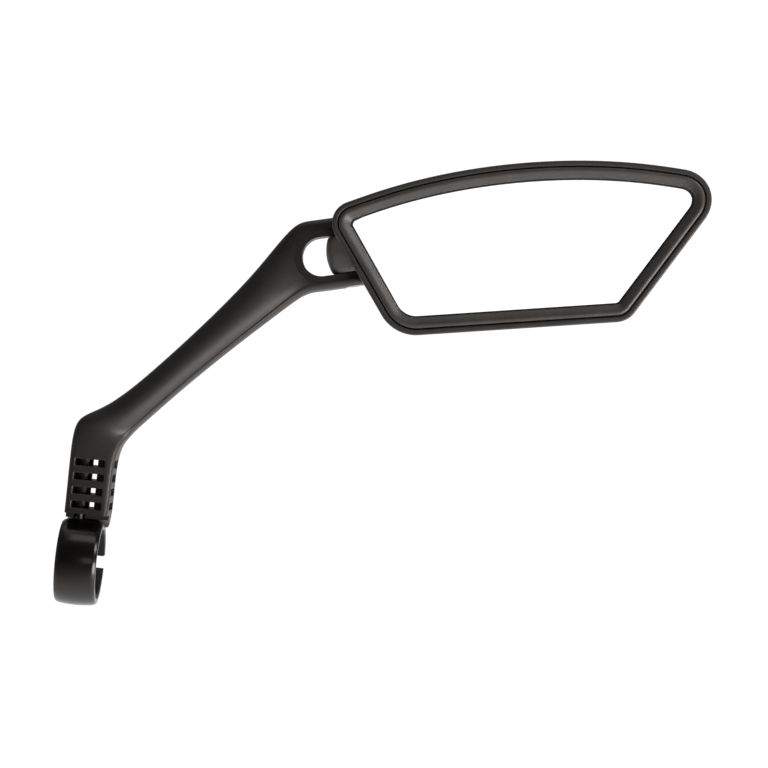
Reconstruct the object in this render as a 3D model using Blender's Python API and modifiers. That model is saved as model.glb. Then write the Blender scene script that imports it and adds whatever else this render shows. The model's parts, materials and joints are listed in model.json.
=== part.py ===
"""Handlebar mirror for a bicycle, right-hand side.

The origin is the centre of the clamp ring's bore, which is the centre of the handlebar.
+X runs outboard along the handlebar, +Z runs up the neck of the arm and -Y is the glass side.
The head has axes of its own at the pin of the fork: u runs out along the head, v up the pin.
"""

import math

import bmesh
import bpy
from mathutils import Matrix, Vector

MM = 0.001
GAP = 0.3 * MM                      # clearance between neighbouring pieces

# Handlebar clamp
BAR_R = 11.1 * MM                   # a 22.2 mm handlebar
LINER_WALL = 1.0 * MM
RING_BORE_R = BAR_R + LINER_WALL + GAP
RING_R = 15.5 * MM
RING_EDGE_R = 14.9 * MM
RING_HALF_WIDTH = 7.3 * MM
RING_CHAMFER = 0.7 * MM
RING_SWELL = 0.15 * MM              # how far its crown stands over a straight cone
SPLIT_Z = -0.3 * MM                 # height of the split at the rear of the ring
SPLIT_HALF = 2.4 * MM
LUG_X = (-7.1 * MM, 3.3 * MM)
LUG_Y = (12.6 * MM, 24.0 * MM)
LUG_HEIGHT = 6.6 * MM
LUG_OVERLAP = 0.5 * MM              # the lugs start this far inside the split
LUG_ROUNDING = 1.2 * MM
CLAMP_BOLT_X = -1.9 * MM
CLAMP_BOLT_Y = 19.2 * MM
CLAMP_HEAD_DEPTH = 2.6 * MM         # lug left between the split and the screw's seat
CLAMP_NUT_DEPTH = 2.4 * MM
CLAMP_HEAD_SEAT_R = 4.2 * MM
LINER_SPLIT_HALF = 2.2 * MM

# Neck of the arm
NECK_X = 1.4 * MM
NECK_HALF_WIDTH = 7.9 * MM
NECK_HALF_DEPTH = 8.4 * MM
FOOT_TAPER = 0.7 * MM               # the outboard side leans in by twice this towards its foot
COLUMN_X = -1.6 * MM
SADDLE_R = RING_R + GAP
RELIEF_TOP = 17.6 * MM              # the front of the neck ends here, clear of the ring
POCKET_LEVELS = [20.8 * MM + 5.05 * MM * level for level in range(4)]
POCKET_HEIGHT = 2.5 * MM
POCKET_X = (-4.2 * MM, 6.4 * MM)    # front and rear pockets, between the corner posts
POCKET_FLOOR_Y = 4.4 * MM
WINDOW_X = (1.45 * MM, 3.2 * MM)    # opening beside the screw column
SIDE_POCKET_DEPTH = 1.7 * MM
SIDE_POCKET_HALF = 5.9 * MM

# Head axes
HINGE = Vector((86.2 * MM, 0.0, 118.5 * MM))
HEAD_ANGLE = math.radians(13.5)

# Fork and knuckle, in head axes
FORK_MID_V = 1.35 * MM
FORK_HALF_HEIGHT = 12.75 * MM
FORK_END_R = 6.5 * MM
SLOT_MID_V = 0.75 * MM
SLOT_HALF = 6.95 * MM
SLOT_CENTRE_U = -10.5 * MM
UPPER_PRONG_WALL = 2.4 * MM         # prong left between the slot and the nut's seat
LOWER_PRONG_WALL = 1.9 * MM         # and between the slot and the screw head's seat
HINGE_HEAD_SEAT_R = 4.3 * MM
BARREL_RECESS = 1.3 * MM            # depth of the washers' recesses in the barrel's ends
BARREL_RECESS_R = 5.6 * MM
BARREL_R = 8.8 * MM
BARREL_EDGE_R = 7.4 * MM
BARREL_HALF = SLOT_HALF - GAP
STUB_COLLAR_R = 6.2 * MM
STUB_COLLAR_END = 9.9 * MM
STUB_R = 3.5 * MM
STUB_END = 19.4 * MM
STUB_BORE_START = 11.5 * MM

# Tilt pivot, in head axes along u
TILT_Y = -2.5 * MM                  # the stub lies this far in front of the pin
BUSH_START = STUB_COLLAR_END + GAP
BUSH_FLANGE = 1.0 * MM
BUSH_R = 5.0 * MM
BUSH_FLANGE_R = 6.6 * MM
BUSH_END = 18.6 * MM
BOSS_R = 7.0 * MM
BOSS_START = BUSH_START + BUSH_FLANGE + GAP
BOSS_END = 18.3 * MM

# Head outline: corners (u, v) and corner radius. The second corner is the long arch of the top.
HEAD_CORNERS = [
    ((-8.1 * MM, 15.8 * MM), 7.8 * MM),
    ((63.1 * MM, 30.4 * MM), 230.0 * MM),
    ((137.5 * MM, 7.1 * MM), 10.8 * MM),
    ((93.0 * MM, -37.5 * MM), 8.3 * MM),
    ((10.9 * MM, -31.4 * MM), 14.2 * MM),
]
DOME_CORNERS = [
    ((11.6 * MM, 15.2 * MM), 7.0 * MM),
    ((63.0 * MM, 25.5 * MM), 150.0 * MM),
    ((125.0 * MM, 5.6 * MM), 9.0 * MM),
    ((91.0 * MM, -31.0 * MM), 9.0 * MM),
    ((17.4 * MM, -26.0 * MM), 11.0 * MM),
]
CORNER_STEPS = [6, 12, 8, 5, 7]
INNER_CORNER_R = 2.8 * MM           # least radius of the bezel's opening and of all inside it

# Head stack, as distances from the hinge axis towards the front
FLOOR_BACK = 12.0 * MM
FLOOR_FRONT = 14.0 * MM
PAD_THICKNESS = 1.2 * MM
GLASS_THICKNESS = 2.8 * MM
GASKET_THICKNESS = 0.6 * MM
RIM_FRONT = 20.9 * MM
BEZEL_FRONT = 21.6 * MM
RIM_WALL = 2.0 * MM
BEZEL_INSET = RIM_WALL + GAP
BEZEL_LEG_INSET = 4.0 * MM
BEZEL_EDGE_INSET = 6.15 * MM
GLASS_INSET = BEZEL_LEG_INSET + GAP
GASKET_EDGE_INSET = 6.7 * MM
DOME_WALL = 2.0 * MM
DOME_DEEP = 21.0 * MM               # depth of the dome beside the knuckle
DOME_SHALLOW = 3.6 * MM             # depth of the dome at the far end
DOME_RINGS = 8
DOME_PLATEAU = 0.76                 # size of the dome's flat crest against its base
DOME_SQUARENESS = 3.0               # 2 rounds its side as an ellipse, more is squarer

# Screws
M4_R = 1.95 * MM
M4_HOLE_R = 2.3 * MM
M3_R = 1.45 * MM
M3_HOLE_R = 1.75 * MM
NUT_M4_ACROSS = 7.0 * MM
NUT_M4_HEIGHT = 3.2 * MM

ROUND = 32
SMALL_ROUND = 24

PART_COLLECTION = "bike_mirror"
CUTTER_COLLECTION = "cutters"


# ---------------------------------------------------------------------------------------------
# Scene, collections and materials

def clear_scene():
    for obj in list(bpy.data.objects):
        bpy.data.objects.remove(obj, do_unlink=True)


def make_collection(name):
    collection = bpy.data.collections.new(name)
    bpy.context.scene.collection.children.link(collection)
    return collection


def make_material(name, colour, roughness, metallic):
    material = bpy.data.materials.new(name)
    material.use_nodes = True
    shader = material.node_tree.nodes["Principled BSDF"]
    shader.inputs["Base Color"].default_value = (*colour, 1.0)
    shader.inputs["Roughness"].default_value = roughness
    shader.inputs["Metallic"].default_value = metallic
    material.diffuse_color = (*colour, 1.0)
    return material


def head_axes():
    """The empty at the fork's pin that carries everything laid out along the head."""
    empty = bpy.data.objects.new("head_axes", None)
    empty.location = HINGE
    empty.rotation_euler = (0.0, -HEAD_ANGLE, 0.0)
    bpy.data.collections[PART_COLLECTION].objects.link(empty)
    return empty


def add_object(name, mesh, parent=None, material=None, cutter=False):
    obj = bpy.data.objects.new(name, mesh)
    collection = CUTTER_COLLECTION if cutter else PART_COLLECTION
    bpy.data.collections[collection].objects.link(obj)
    obj.parent = parent
    if material:
        mesh.materials.append(material)
    if cutter:
        obj.hide_render = True
        obj.display_type = "WIRE"
    return obj


def mesh_from(bm, name):
    mesh = bpy.data.meshes.new(name)
    bm.to_mesh(mesh)
    bm.free()
    return mesh


def shade(mesh, angle=35.0):
    mesh.shade_smooth()
    mesh.set_sharp_from_angle(angle=math.radians(angle))


# ---------------------------------------------------------------------------------------------
# Shapes

AXIS_TURN = {
    "x": Matrix.Rotation(math.radians(90.0), 4, "Y"),
    "y": Matrix.Rotation(math.radians(-90.0), 4, "X"),
    "z": Matrix.Identity(4),
}


def rod(name, axis, centre, start, end, radius, sides=SMALL_ROUND, end_radius=None, **place):
    """A cylinder, cone or hexagon along one axis, turned half a side so that flats face the axes.
    The centre's own value on that axis is unused."""
    bm = bmesh.new()
    spin = Matrix.Rotation(math.pi / sides, 4, "Z")
    shift = Matrix.Translation((0.0, 0.0, (start + end) / 2))
    far_radius = radius if end_radius is None else end_radius
    bmesh.ops.create_cone(bm, cap_ends=True, segments=sides, radius1=radius, radius2=far_radius,
                          depth=end - start, matrix=AXIS_TURN[axis] @ shift @ spin)
    offset = Vector(centre)
    offset["xyz".index(axis)] = 0.0
    bmesh.ops.translate(bm, verts=bm.verts, vec=offset)
    mesh = mesh_from(bm, name)
    shade(mesh)
    return add_object(name, mesh, **place)


def box(name, low, high, bevel=0.0, **place):
    bm = bmesh.new()
    size = Vector(high) - Vector(low)
    middle = (Vector(high) + Vector(low)) / 2
    bmesh.ops.create_cube(bm, size=1.0, matrix=Matrix.Translation(middle) @ Matrix.Diagonal((*size, 1.0)))
    obj = add_object(name, mesh_from(bm, name), **place)
    if bevel:
        rounding = obj.modifiers.new("rounded edges", "BEVEL")
        rounding.width = bevel
        rounding.segments = 2
    return obj


def turned(name, axis, centre, profile, closed, steps=ROUND, **place):
    """A turned shape. The profile is (radius, distance along the axis) pairs, outer side first,
    from the far end of the axis back to its start."""
    mesh = bpy.data.meshes.new(name)
    verts = [(radius, 0.0, along) for radius, along in profile]
    edges = [(i, i + 1) for i in range(len(verts) - 1)]
    if closed:
        edges.append((len(verts) - 1, 0))
    mesh.from_pydata(verts, edges, [])
    obj = add_object(name, mesh, **place)
    offset = Vector(centre)
    offset["xyz".index(axis)] = 0.0
    obj.matrix_local = Matrix.Translation(offset) @ AXIS_TURN[axis]
    screw = obj.modifiers.new("turn", "SCREW")
    screw.steps = steps
    screw.render_steps = steps
    screw.use_merge_vertices = True
    screw.merge_threshold = 0.00001
    screw.use_smooth_shade = True
    return obj


def washer(name, axis, centre, start, end, bore, radius, steps=SMALL_ROUND, **place):
    profile = [(radius, end), (radius, start), (bore, start), (bore, end)]
    return turned(name, axis, centre, profile, True, steps, **place)


def prism(name, outline, plane, start, end, **place):
    """A flat outline drawn in plane "xy" or "xz", given its thickness along the third axis."""
    bm = bmesh.new()
    if plane == "xy":
        verts = [bm.verts.new((a, b, start)) for a, b in outline]
        move = Vector((0.0, 0.0, end - start))
    else:
        verts = [bm.verts.new((a, start, b)) for a, b in outline]
        move = Vector((0.0, end - start, 0.0))
    face = bm.faces.new(verts)
    made = bmesh.ops.extrude_face_region(bm, geom=[face])
    far = [item for item in made["geom"] if isinstance(item, bmesh.types.BMVert)]
    bmesh.ops.translate(bm, verts=far, vec=move)
    bmesh.ops.recalc_face_normals(bm, faces=bm.faces)
    mesh = mesh_from(bm, name)
    shade(mesh)
    return add_object(name, mesh, **place)


def loft(name, rings, end_caps=True, **place):
    """Rings of equal length joined in order: capped at both ends, or closed on themselves."""
    bm = bmesh.new()
    rows = [[bm.verts.new(point) for point in ring] for ring in rings]
    following = rows[1:] if end_caps else rows[1:] + rows[:1]
    for row, after in zip(rows, following):
        for i in range(len(row)):
            j = (i + 1) % len(row)
            bm.faces.new((row[i], row[j], after[j], after[i]))
    if end_caps:
        for row in (rows[0], rows[-1]):
            middle = bm.verts.new(sum((v.co for v in row), Vector()) / len(row))
            for i in range(len(row)):
                bm.faces.new((row[i], row[(i + 1) % len(row)], middle))
    bmesh.ops.recalc_face_normals(bm, faces=bm.faces)
    mesh = mesh_from(bm, name)
    shade(mesh)
    return add_object(name, mesh, **place)


def boolean(obj, operation, other):
    step = obj.modifiers.new(operation.lower() + " " + other.name, "BOOLEAN")
    step.operation = operation
    step.solver = "EXACT"
    step.object = other


def cut(obj, *cutters):
    for cutter in cutters:
        boolean(obj, "DIFFERENCE", cutter)


def join(obj, *others):
    for other in others:
        boolean(obj, "UNION", other)


# ---------------------------------------------------------------------------------------------
# Outlines

def inset_corners(corners, inset):
    """The same corners moved in by an even distance, with their radii less by as much."""
    moved = []
    for i, (point, radius) in enumerate(corners):
        here = Vector(point)
        before = (Vector(corners[i - 1][0]) - here).normalized()
        after = (Vector(corners[(i + 1) % len(corners)][0]) - here).normalized()
        half = before.angle(after) / 2
        inward = (before + after).normalized()
        new_radius = max(radius - inset, INNER_CORNER_R)
        moved.append((here + inward * inset / math.sin(half), new_radius))
    return moved


def rounded_outline(corners, inset=0.0):
    """Points round a polygon with every corner rounded by an arc of its own radius."""
    points = []
    corners = inset_corners(corners, inset)
    for i, (here, radius) in enumerate(corners):
        before = (corners[i - 1][0] - here).normalized()
        after = (corners[(i + 1) % len(corners)][0] - here).normalized()
        half = before.angle(after) / 2
        centre = here + (before + after).normalized() * radius / math.sin(half)
        first = here + before * radius / math.tan(half) - centre
        last = here + after * radius / math.tan(half) - centre
        sweep = first.angle_signed(last)
        for step in range(CORNER_STEPS[i] + 1):
            angle = -sweep * step / CORNER_STEPS[i]
            points.append(centre + Matrix.Rotation(angle, 2) @ first)
    return points


def head_ring(corners, inset, forward):
    """An outline of the head as 3D points, at a distance in front of the hinge axis."""
    return [(point.x, -forward, point.y) for point in rounded_outline(corners, inset)]


def superellipse(half_width, half_depth, squareness, count=20):
    points = []
    for i in range(count):
        angle = 2 * math.pi * (i + 0.5) / count
        c = math.cos(angle)
        s = math.sin(angle)
        across = half_width * math.copysign(abs(c) ** (2 / squareness), c)
        deep = half_depth * math.copysign(abs(s) ** (2 / squareness), s)
        points.append((across, deep))
    return points


# ---------------------------------------------------------------------------------------------
# Clamp

def build_clamp_ring(material):
    edge = RING_HALF_WIDTH
    shoulder = edge - RING_CHAMFER
    half = edge / 2
    middle_r = (RING_R + RING_EDGE_R) / 2 + RING_SWELL
    profile = [
        (RING_BORE_R, edge),
        (RING_EDGE_R - RING_CHAMFER, edge),
        (RING_EDGE_R, shoulder),
        (middle_r, half),
        (RING_R, 0.0),
        (middle_r, -half),
        (RING_EDGE_R, -shoulder),
        (RING_EDGE_R - RING_CHAMFER, -edge),
        (RING_BORE_R, -edge),
    ]
    ring = turned("clamp_ring", "x", (0, 0, 0), profile, True, steps=56, material=material)
    upper_z = SPLIT_Z + SPLIT_HALF - LUG_OVERLAP
    lower_z = SPLIT_Z - SPLIT_HALF + LUG_OVERLAP
    upper = box("lug_upper", (LUG_X[0], LUG_Y[0], upper_z), (LUG_X[1], LUG_Y[1], upper_z + LUG_HEIGHT),
                bevel=LUG_ROUNDING, cutter=True)
    lower = box("lug_lower", (LUG_X[0], LUG_Y[0], lower_z - LUG_HEIGHT), (LUG_X[1], LUG_Y[1], lower_z),
                bevel=LUG_ROUNDING, cutter=True)
    split = box("split", (-9 * MM, 10 * MM, SPLIT_Z - SPLIT_HALF), (9 * MM, 26 * MM, SPLIT_Z + SPLIT_HALF),
                cutter=True)
    bolt_centre = (CLAMP_BOLT_X, CLAMP_BOLT_Y, 0)
    hole = rod("clamp_bolt_hole", "z", bolt_centre, -16 * MM, 12 * MM, M4_HOLE_R, cutter=True)
    head_seat = rod("clamp_head_seat", "z", bolt_centre, -16 * MM, clamp_head_seat_z(), CLAMP_HEAD_SEAT_R,
                    cutter=True)
    nut_seat = rod("clamp_nut_seat", "z", bolt_centre, clamp_nut_seat_z(), 12 * MM,
                   hexagon_r(NUT_M4_ACROSS + 2 * GAP), sides=6, cutter=True)
    neck_hole = rod("neck_bolt_hole", "z", (COLUMN_X, 0, 0), 8 * MM, 18 * MM, M3_HOLE_R, cutter=True)
    neck_sink = rod("neck_bolt_sink", "z", (COLUMN_X, 0, 0), 10.6 * MM, 14.3 * MM, 5.05 * MM,
                    end_radius=M3_HOLE_R, cutter=True)
    join(ring, upper, lower)
    cut(ring, split, hole, head_seat, nut_seat, neck_hole, neck_sink)
    return ring


def hexagon_r(across_flats):
    return across_flats / math.sqrt(3)


def clamp_head_seat_z():
    return SPLIT_Z - SPLIT_HALF - CLAMP_HEAD_DEPTH


def clamp_nut_seat_z():
    return SPLIT_Z + SPLIT_HALF + CLAMP_NUT_DEPTH


def build_clamp_liner(material):
    """A rubber sleeve with a slit at the rear, which lets it follow the ring as it closes."""
    edge = RING_HALF_WIDTH - 0.2 * MM
    outer = BAR_R + LINER_WALL
    profile = [(outer, edge), (outer, -edge), (BAR_R, -edge), (BAR_R, edge)]
    liner = turned("clamp_liner", "x", (0, 0, 0), profile, True, steps=48, material=material)
    slit = box("liner_slit", (-9 * MM, 8 * MM, SPLIT_Z - LINER_SPLIT_HALF),
               (9 * MM, 14 * MM, SPLIT_Z + LINER_SPLIT_HALF), cutter=True)
    cut(liner, slit)
    return liner


def socket_screw(name, axis, centre, head_end, seat, tip, shank_r, head_r, socket_across, parent=None,
                 material=None):
    """A screw with a hexagon socket, along an axis, from the outer end of its head to its tip."""
    outward = math.copysign(1.0, head_end - seat)
    soft = 0.4 * MM
    profile = [
        (0.0, head_end),
        (head_r - soft, head_end),
        (head_r, head_end - outward * soft),
        (head_r, seat),
        (shank_r, seat),
        (shank_r, tip + outward * soft),
        (shank_r - soft, tip),
        (0.0, tip),
    ]
    if outward < 0:
        profile.reverse()
    screw = turned(name, axis, centre, profile, False, SMALL_ROUND, parent=parent, material=material)
    depth = abs(head_end - seat) * 0.65
    ends = sorted((head_end + outward * MM, head_end - outward * depth))
    socket = rod(name + "_socket", axis, centre, ends[0], ends[1], hexagon_r(socket_across), sides=6,
                 parent=parent, cutter=True)
    cut(screw, socket)
    return screw


def hex_nut(name, axis, centre, start, end, across, bore, parent=None, material=None):
    nut = rod(name, axis, centre, start, end, hexagon_r(across), sides=6, parent=parent, material=material)
    hole = rod(name + "_bore", axis, centre, start - MM, end + MM, bore, parent=parent, cutter=True)
    cut(nut, hole)
    return nut


def build_clamp_fasteners(steel):
    centre = (CLAMP_BOLT_X, CLAMP_BOLT_Y, 0)
    washer_top = clamp_head_seat_z() - GAP
    washer_low = washer_top - 0.8 * MM
    seat = washer_low - GAP
    nut_low = clamp_nut_seat_z() + GAP
    washer("clamp_washer", "z", centre, washer_low, washer_top, M4_HOLE_R, 3.9 * MM, material=steel)
    socket_screw("clamp_bolt", "z", centre, seat - 4.0 * MM, seat, nut_low + NUT_M4_HEIGHT + 0.8 * MM,
                 M4_R, 3.5 * MM, 3.0 * MM, material=steel)
    hex_nut("clamp_nut", "z", centre, nut_low, nut_low + NUT_M4_HEIGHT, NUT_M4_ACROSS, M4_HOLE_R,
            material=steel)


# ---------------------------------------------------------------------------------------------
# Arm

def arm_stations():
    """Sections up the arm: centre (x, z), heading in degrees, half width, half depth, squareness."""
    fork_x = HINGE.x - FORK_MID_V * math.sin(HEAD_ANGLE)
    fork_z = HINGE.z + FORK_MID_V * math.cos(HEAD_ANGLE)
    tilt = math.degrees(HEAD_ANGLE)

    def on_fork(u):
        return (fork_x + u * math.cos(HEAD_ANGLE), fork_z + u * math.sin(HEAD_ANGLE))

    width = NECK_HALF_WIDTH
    depth = NECK_HALF_DEPTH
    stations = [
        ((NECK_X - FOOT_TAPER, 10.5 * MM), 90.0, width - FOOT_TAPER, 10.6 * MM, 5.0),
        ((NECK_X - FOOT_TAPER / 2, 14.0 * MM), 90.0, width - FOOT_TAPER / 2, 10.2 * MM, 5.0),
        ((NECK_X, 18.5 * MM), 90.0, width, 8.8 * MM, 5.0),
        ((NECK_X, 28.0 * MM), 90.0, width, depth, 5.0),
        ((1.6 * MM, 38.0 * MM), 90.0, 8.1 * MM, depth, 4.6),
        ((2.35 * MM, 43.95 * MM), 81.0, 8.75 * MM, depth, 4.0),
        ((4.15 * MM, 47.8 * MM), 74.2, 9.2 * MM, 8.2 * MM, 3.6),
        ((6.6 * MM, 49.9 * MM), 67.0, 8.2 * MM, 8.0 * MM, 3.3),
        ((10.05 * MM, 52.5 * MM), 53.0, 6.7 * MM, 7.8 * MM, 3.0),
        ((16.9 * MM, 59.1 * MM), 47.0, 6.05 * MM, 7.4 * MM, 2.8),
        ((27.4 * MM, 70.2 * MM), 46.5, 5.95 * MM, 7.1 * MM, 2.8),
        ((43.0 * MM, 86.5 * MM), 46.8, 6.65 * MM, 6.9 * MM, 2.8),
        ((57.6 * MM, 102.0 * MM), 46.0, 8.25 * MM, 6.7 * MM, 3.0),
        ((65.0 * MM, 111.2 * MM), 34.0, 10.1 * MM, 6.5 * MM, 3.4),
        ((69.9 * MM, 115.85 * MM), 22.0, 12.7 * MM, FORK_END_R, 4.2),
    ]
    for u in (-7.6 * MM, -3.0 * MM):
        stations.append((on_fork(u), tilt, FORK_HALF_HEIGHT, FORK_END_R, 5.0))
    return stations, on_fork, tilt


def spline(points, index, t):
    """A smooth value between two neighbours in a list of vectors (Catmull-Rom)."""
    p0 = points[max(index - 1, 0)]
    p1 = points[index]
    p2 = points[index + 1]
    p3 = points[min(index + 2, len(points) - 1)]
    return 0.5 * (2 * p1 + (p2 - p0) * t + (2 * p0 - 5 * p1 + 4 * p2 - p3) * t ** 2
                  + (3 * p1 - p0 - 3 * p2 + p3) * t ** 3)


def arm_section(centre, heading, half_width, half_depth, squareness):
    """A closed section square to the heading. Its width lies in the XZ plane and its depth along Y."""
    across = Vector((math.sin(math.radians(heading)), 0.0, -math.cos(math.radians(heading))))
    middle = Vector((centre[0], 0.0, centre[1]))
    return [middle + across * a + Vector((0.0, d, 0.0))
            for a, d in superellipse(half_width, half_depth, squareness)]


def arm_rings():
    stations, on_fork, tilt = arm_stations()
    values = [Vector((c[0], c[1], heading, width, depth, square))
              for c, heading, width, depth, square in stations]
    per_span = 3
    rings = []
    for index in range(len(values) - 1):
        for step in range(per_span):
            v = spline(values, index, step / per_span)
            rings.append(arm_section((v[0], v[1]), *v[2:]))
    end_steps = 5
    for step in range(end_steps):
        angle = math.radians(84.0) * step / (end_steps - 1)
        reach = FORK_END_R * math.sin(angle)
        depth = FORK_END_R * math.cos(angle)
        rings.append(arm_section(on_fork(reach), tilt, FORK_HALF_HEIGHT, depth, 5.0))
    return rings


def neck_cutters():
    cutters = []
    low_x, high_x = POCKET_X
    low_w, high_w = WINDOW_X
    outside = 14 * MM
    floor = POCKET_FLOOR_Y
    through = [
        (low_x, -outside), (high_x, -outside), (high_x, -floor), (high_w, -floor),
        (high_w, floor), (high_x, floor), (high_x, outside), (low_x, outside),
        (low_x, floor), (low_w, floor), (low_w, -floor), (low_x, -floor),
    ]
    left_face = NECK_X - NECK_HALF_WIDTH + SIDE_POCKET_DEPTH
    right_face = NECK_X + NECK_HALF_WIDTH - SIDE_POCKET_DEPTH
    for level, middle in enumerate(POCKET_LEVELS):
        low = middle - POCKET_HEIGHT / 2
        high = middle + POCKET_HEIGHT / 2
        cutters.append(prism(f"pocket_{level}", through, "xy", low, high, cutter=True))
        cutters.append(box(f"pocket_left_{level}", (left_face - outside, -SIDE_POCKET_HALF, low),
                           (left_face, SIDE_POCKET_HALF, high), cutter=True))
        cutters.append(box(f"pocket_right_{level}", (right_face, -SIDE_POCKET_HALF, low),
                           (right_face + outside, SIDE_POCKET_HALF, high), cutter=True))
    return cutters


def slot_outline():
    """The fork's slot in head axes: a round end on the arm's side, open past the prong ends."""
    points = [(14 * MM, SLOT_MID_V - SLOT_HALF), (14 * MM, SLOT_MID_V + SLOT_HALF)]
    steps = 16
    for step in range(steps + 1):
        angle = math.radians(90.0) + math.pi * step / steps
        points.append((SLOT_CENTRE_U + SLOT_HALF * math.cos(angle), SLOT_MID_V + SLOT_HALF * math.sin(angle)))
    return points


def upper_seat():
    return SLOT_MID_V + SLOT_HALF + UPPER_PRONG_WALL


def lower_seat():
    return SLOT_MID_V - SLOT_HALF - LOWER_PRONG_WALL


def build_arm(material, head):
    arm = loft("arm", arm_rings(), material=material)
    saddle = rod("saddle", "x", (0, 0, 0), -16 * MM, 16 * MM, SADDLE_R, sides=64, cutter=True)
    relief = box("front_relief", (-16 * MM, -14 * MM, 8 * MM), (16 * MM, -1.5 * MM, RELIEF_TOP), cutter=True)
    insert_hole = rod("insert_hole", "z", (COLUMN_X, 0, 0), 10 * MM, 27.4 * MM, 2.5 * MM, cutter=True)
    tip_hole = rod("bolt_tip_hole", "z", (COLUMN_X, 0, 0), 26 * MM, 33 * MM, M3_HOLE_R, cutter=True)
    slot = prism("fork_slot", slot_outline(), "xz", -14 * MM, 14 * MM, parent=head, cutter=True)
    pin_hole = rod("pin_hole", "z", (0, 0, 0), -18 * MM, 20 * MM, M4_HOLE_R, parent=head, cutter=True)
    head_seat = rod("screw_head_seat", "z", (0, 0, 0), -18 * MM, lower_seat(), HINGE_HEAD_SEAT_R, parent=head,
                    cutter=True)
    nut_seat = rod("nut_seat", "z", (0, 0, 0), upper_seat(), 20 * MM,
                   hexagon_r(NUT_M4_ACROSS + 2 * GAP), sides=6, parent=head, cutter=True)
    cut(arm, saddle, relief, insert_hole, tip_hole, *neck_cutters(), slot, pin_hole, head_seat, nut_seat)
    return arm


def build_neck_fasteners(steel, brass):
    """The countersunk screw that holds the arm on the ring, and the insert that takes it."""
    centre = (COLUMN_X, 0, 0)
    head_low = 12.3 * MM
    sink = 1.9 * MM
    profile = [
        (0.0, 26.0 * MM),
        (M3_R - 0.3 * MM, 26.0 * MM),
        (M3_R, 25.7 * MM),
        (M3_R, head_low + sink),
        (3.0 * MM, head_low + 0.2 * MM),
        (3.0 * MM, head_low),
        (0.0, head_low),
    ]
    bolt = turned("neck_bolt", "z", centre, profile, False, SMALL_ROUND, material=steel)
    socket = rod("neck_bolt_socket", "z", centre, head_low - MM, head_low + 1.3 * MM,
                 hexagon_r(2.0 * MM), sides=6, cutter=True)
    cut(bolt, socket)
    washer("neck_insert", "z", centre, 17.2 * MM, 27.0 * MM, M3_HOLE_R, 2.2 * MM, material=brass)


# ---------------------------------------------------------------------------------------------
# Fork pivot and knuckle, in head axes

def build_knuckle(material, head):
    low = SLOT_MID_V - BARREL_HALF
    high = SLOT_MID_V + BARREL_HALF
    steps = 8
    bulge = BARREL_R - BARREL_EDGE_R
    side = []
    for step in range(steps + 1):
        t = 1 - 2 * step / steps
        side.append((BARREL_EDGE_R + bulge * (1 - t * t), SLOT_MID_V + BARREL_HALF * t))
    recess = BARREL_RECESS
    recess_r = BARREL_RECESS_R
    profile = [(M4_HOLE_R, high - recess), (recess_r, high - recess), (recess_r, high)]
    profile += side
    profile += [(recess_r, low), (recess_r, low + recess), (M4_HOLE_R, low + recess)]
    knuckle = turned("knuckle", "z", (0, 0, 0), profile, True, steps=ROUND, parent=head, material=material)
    inside = 5.9 * MM
    stub_profile = [
        (0.0, STUB_END),
        (STUB_R - 0.4 * MM, STUB_END),
        (STUB_R, STUB_END - 0.4 * MM),
        (STUB_R, STUB_COLLAR_END),
        (STUB_COLLAR_R, STUB_COLLAR_END),
        (STUB_COLLAR_R, inside),
        (0.0, inside),
    ]
    centre = (0, TILT_Y, SLOT_MID_V)
    stub = turned("stub", "x", centre, stub_profile, False, steps=ROUND, parent=head, cutter=True)
    bore = rod("stub_bore", "x", centre, STUB_BORE_START, STUB_END + MM, M3_HOLE_R, parent=head, cutter=True)
    join(knuckle, stub)
    cut(knuckle, bore)
    return knuckle


def build_hinge_fasteners(steel, spring_steel, nylon, head):
    centre = (0, 0, 0)
    axis = "z"
    top_recess = SLOT_MID_V + BARREL_HALF - BARREL_RECESS
    low_recess = SLOT_MID_V - BARREL_HALF + BARREL_RECESS
    washer("hinge_washer_upper", axis, centre, top_recess + GAP, top_recess + BARREL_RECESS, M4_HOLE_R,
           5.2 * MM, parent=head, material=nylon)
    washer("hinge_washer_lower", axis, centre, low_recess - BARREL_RECESS, low_recess - GAP, M4_HOLE_R,
           5.2 * MM, parent=head, material=nylon)
    head_top = lower_seat() - GAP
    washer("hinge_head_washer", axis, centre, head_top - 0.6 * MM, head_top, M4_HOLE_R, 4.0 * MM,
           parent=head, material=steel)
    seat = head_top - 0.6 * MM - GAP
    spring_low = upper_seat() + GAP
    spring_high = spring_low + 0.7 * MM
    washer("hinge_spring_washer", axis, centre, spring_low, spring_high, M4_HOLE_R, 3.4 * MM, parent=head,
           material=spring_steel)
    nut_low = spring_high + GAP
    hex_nut("hinge_nut", axis, centre, nut_low, nut_low + 2.4 * MM, NUT_M4_ACROSS, M4_HOLE_R,
            parent=head, material=steel)
    socket_screw("hinge_screw", axis, centre, seat - 2.0 * MM, seat, nut_low + 2.6 * MM, M4_R, 3.7 * MM,
                 2.5 * MM, parent=head, material=steel)


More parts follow.
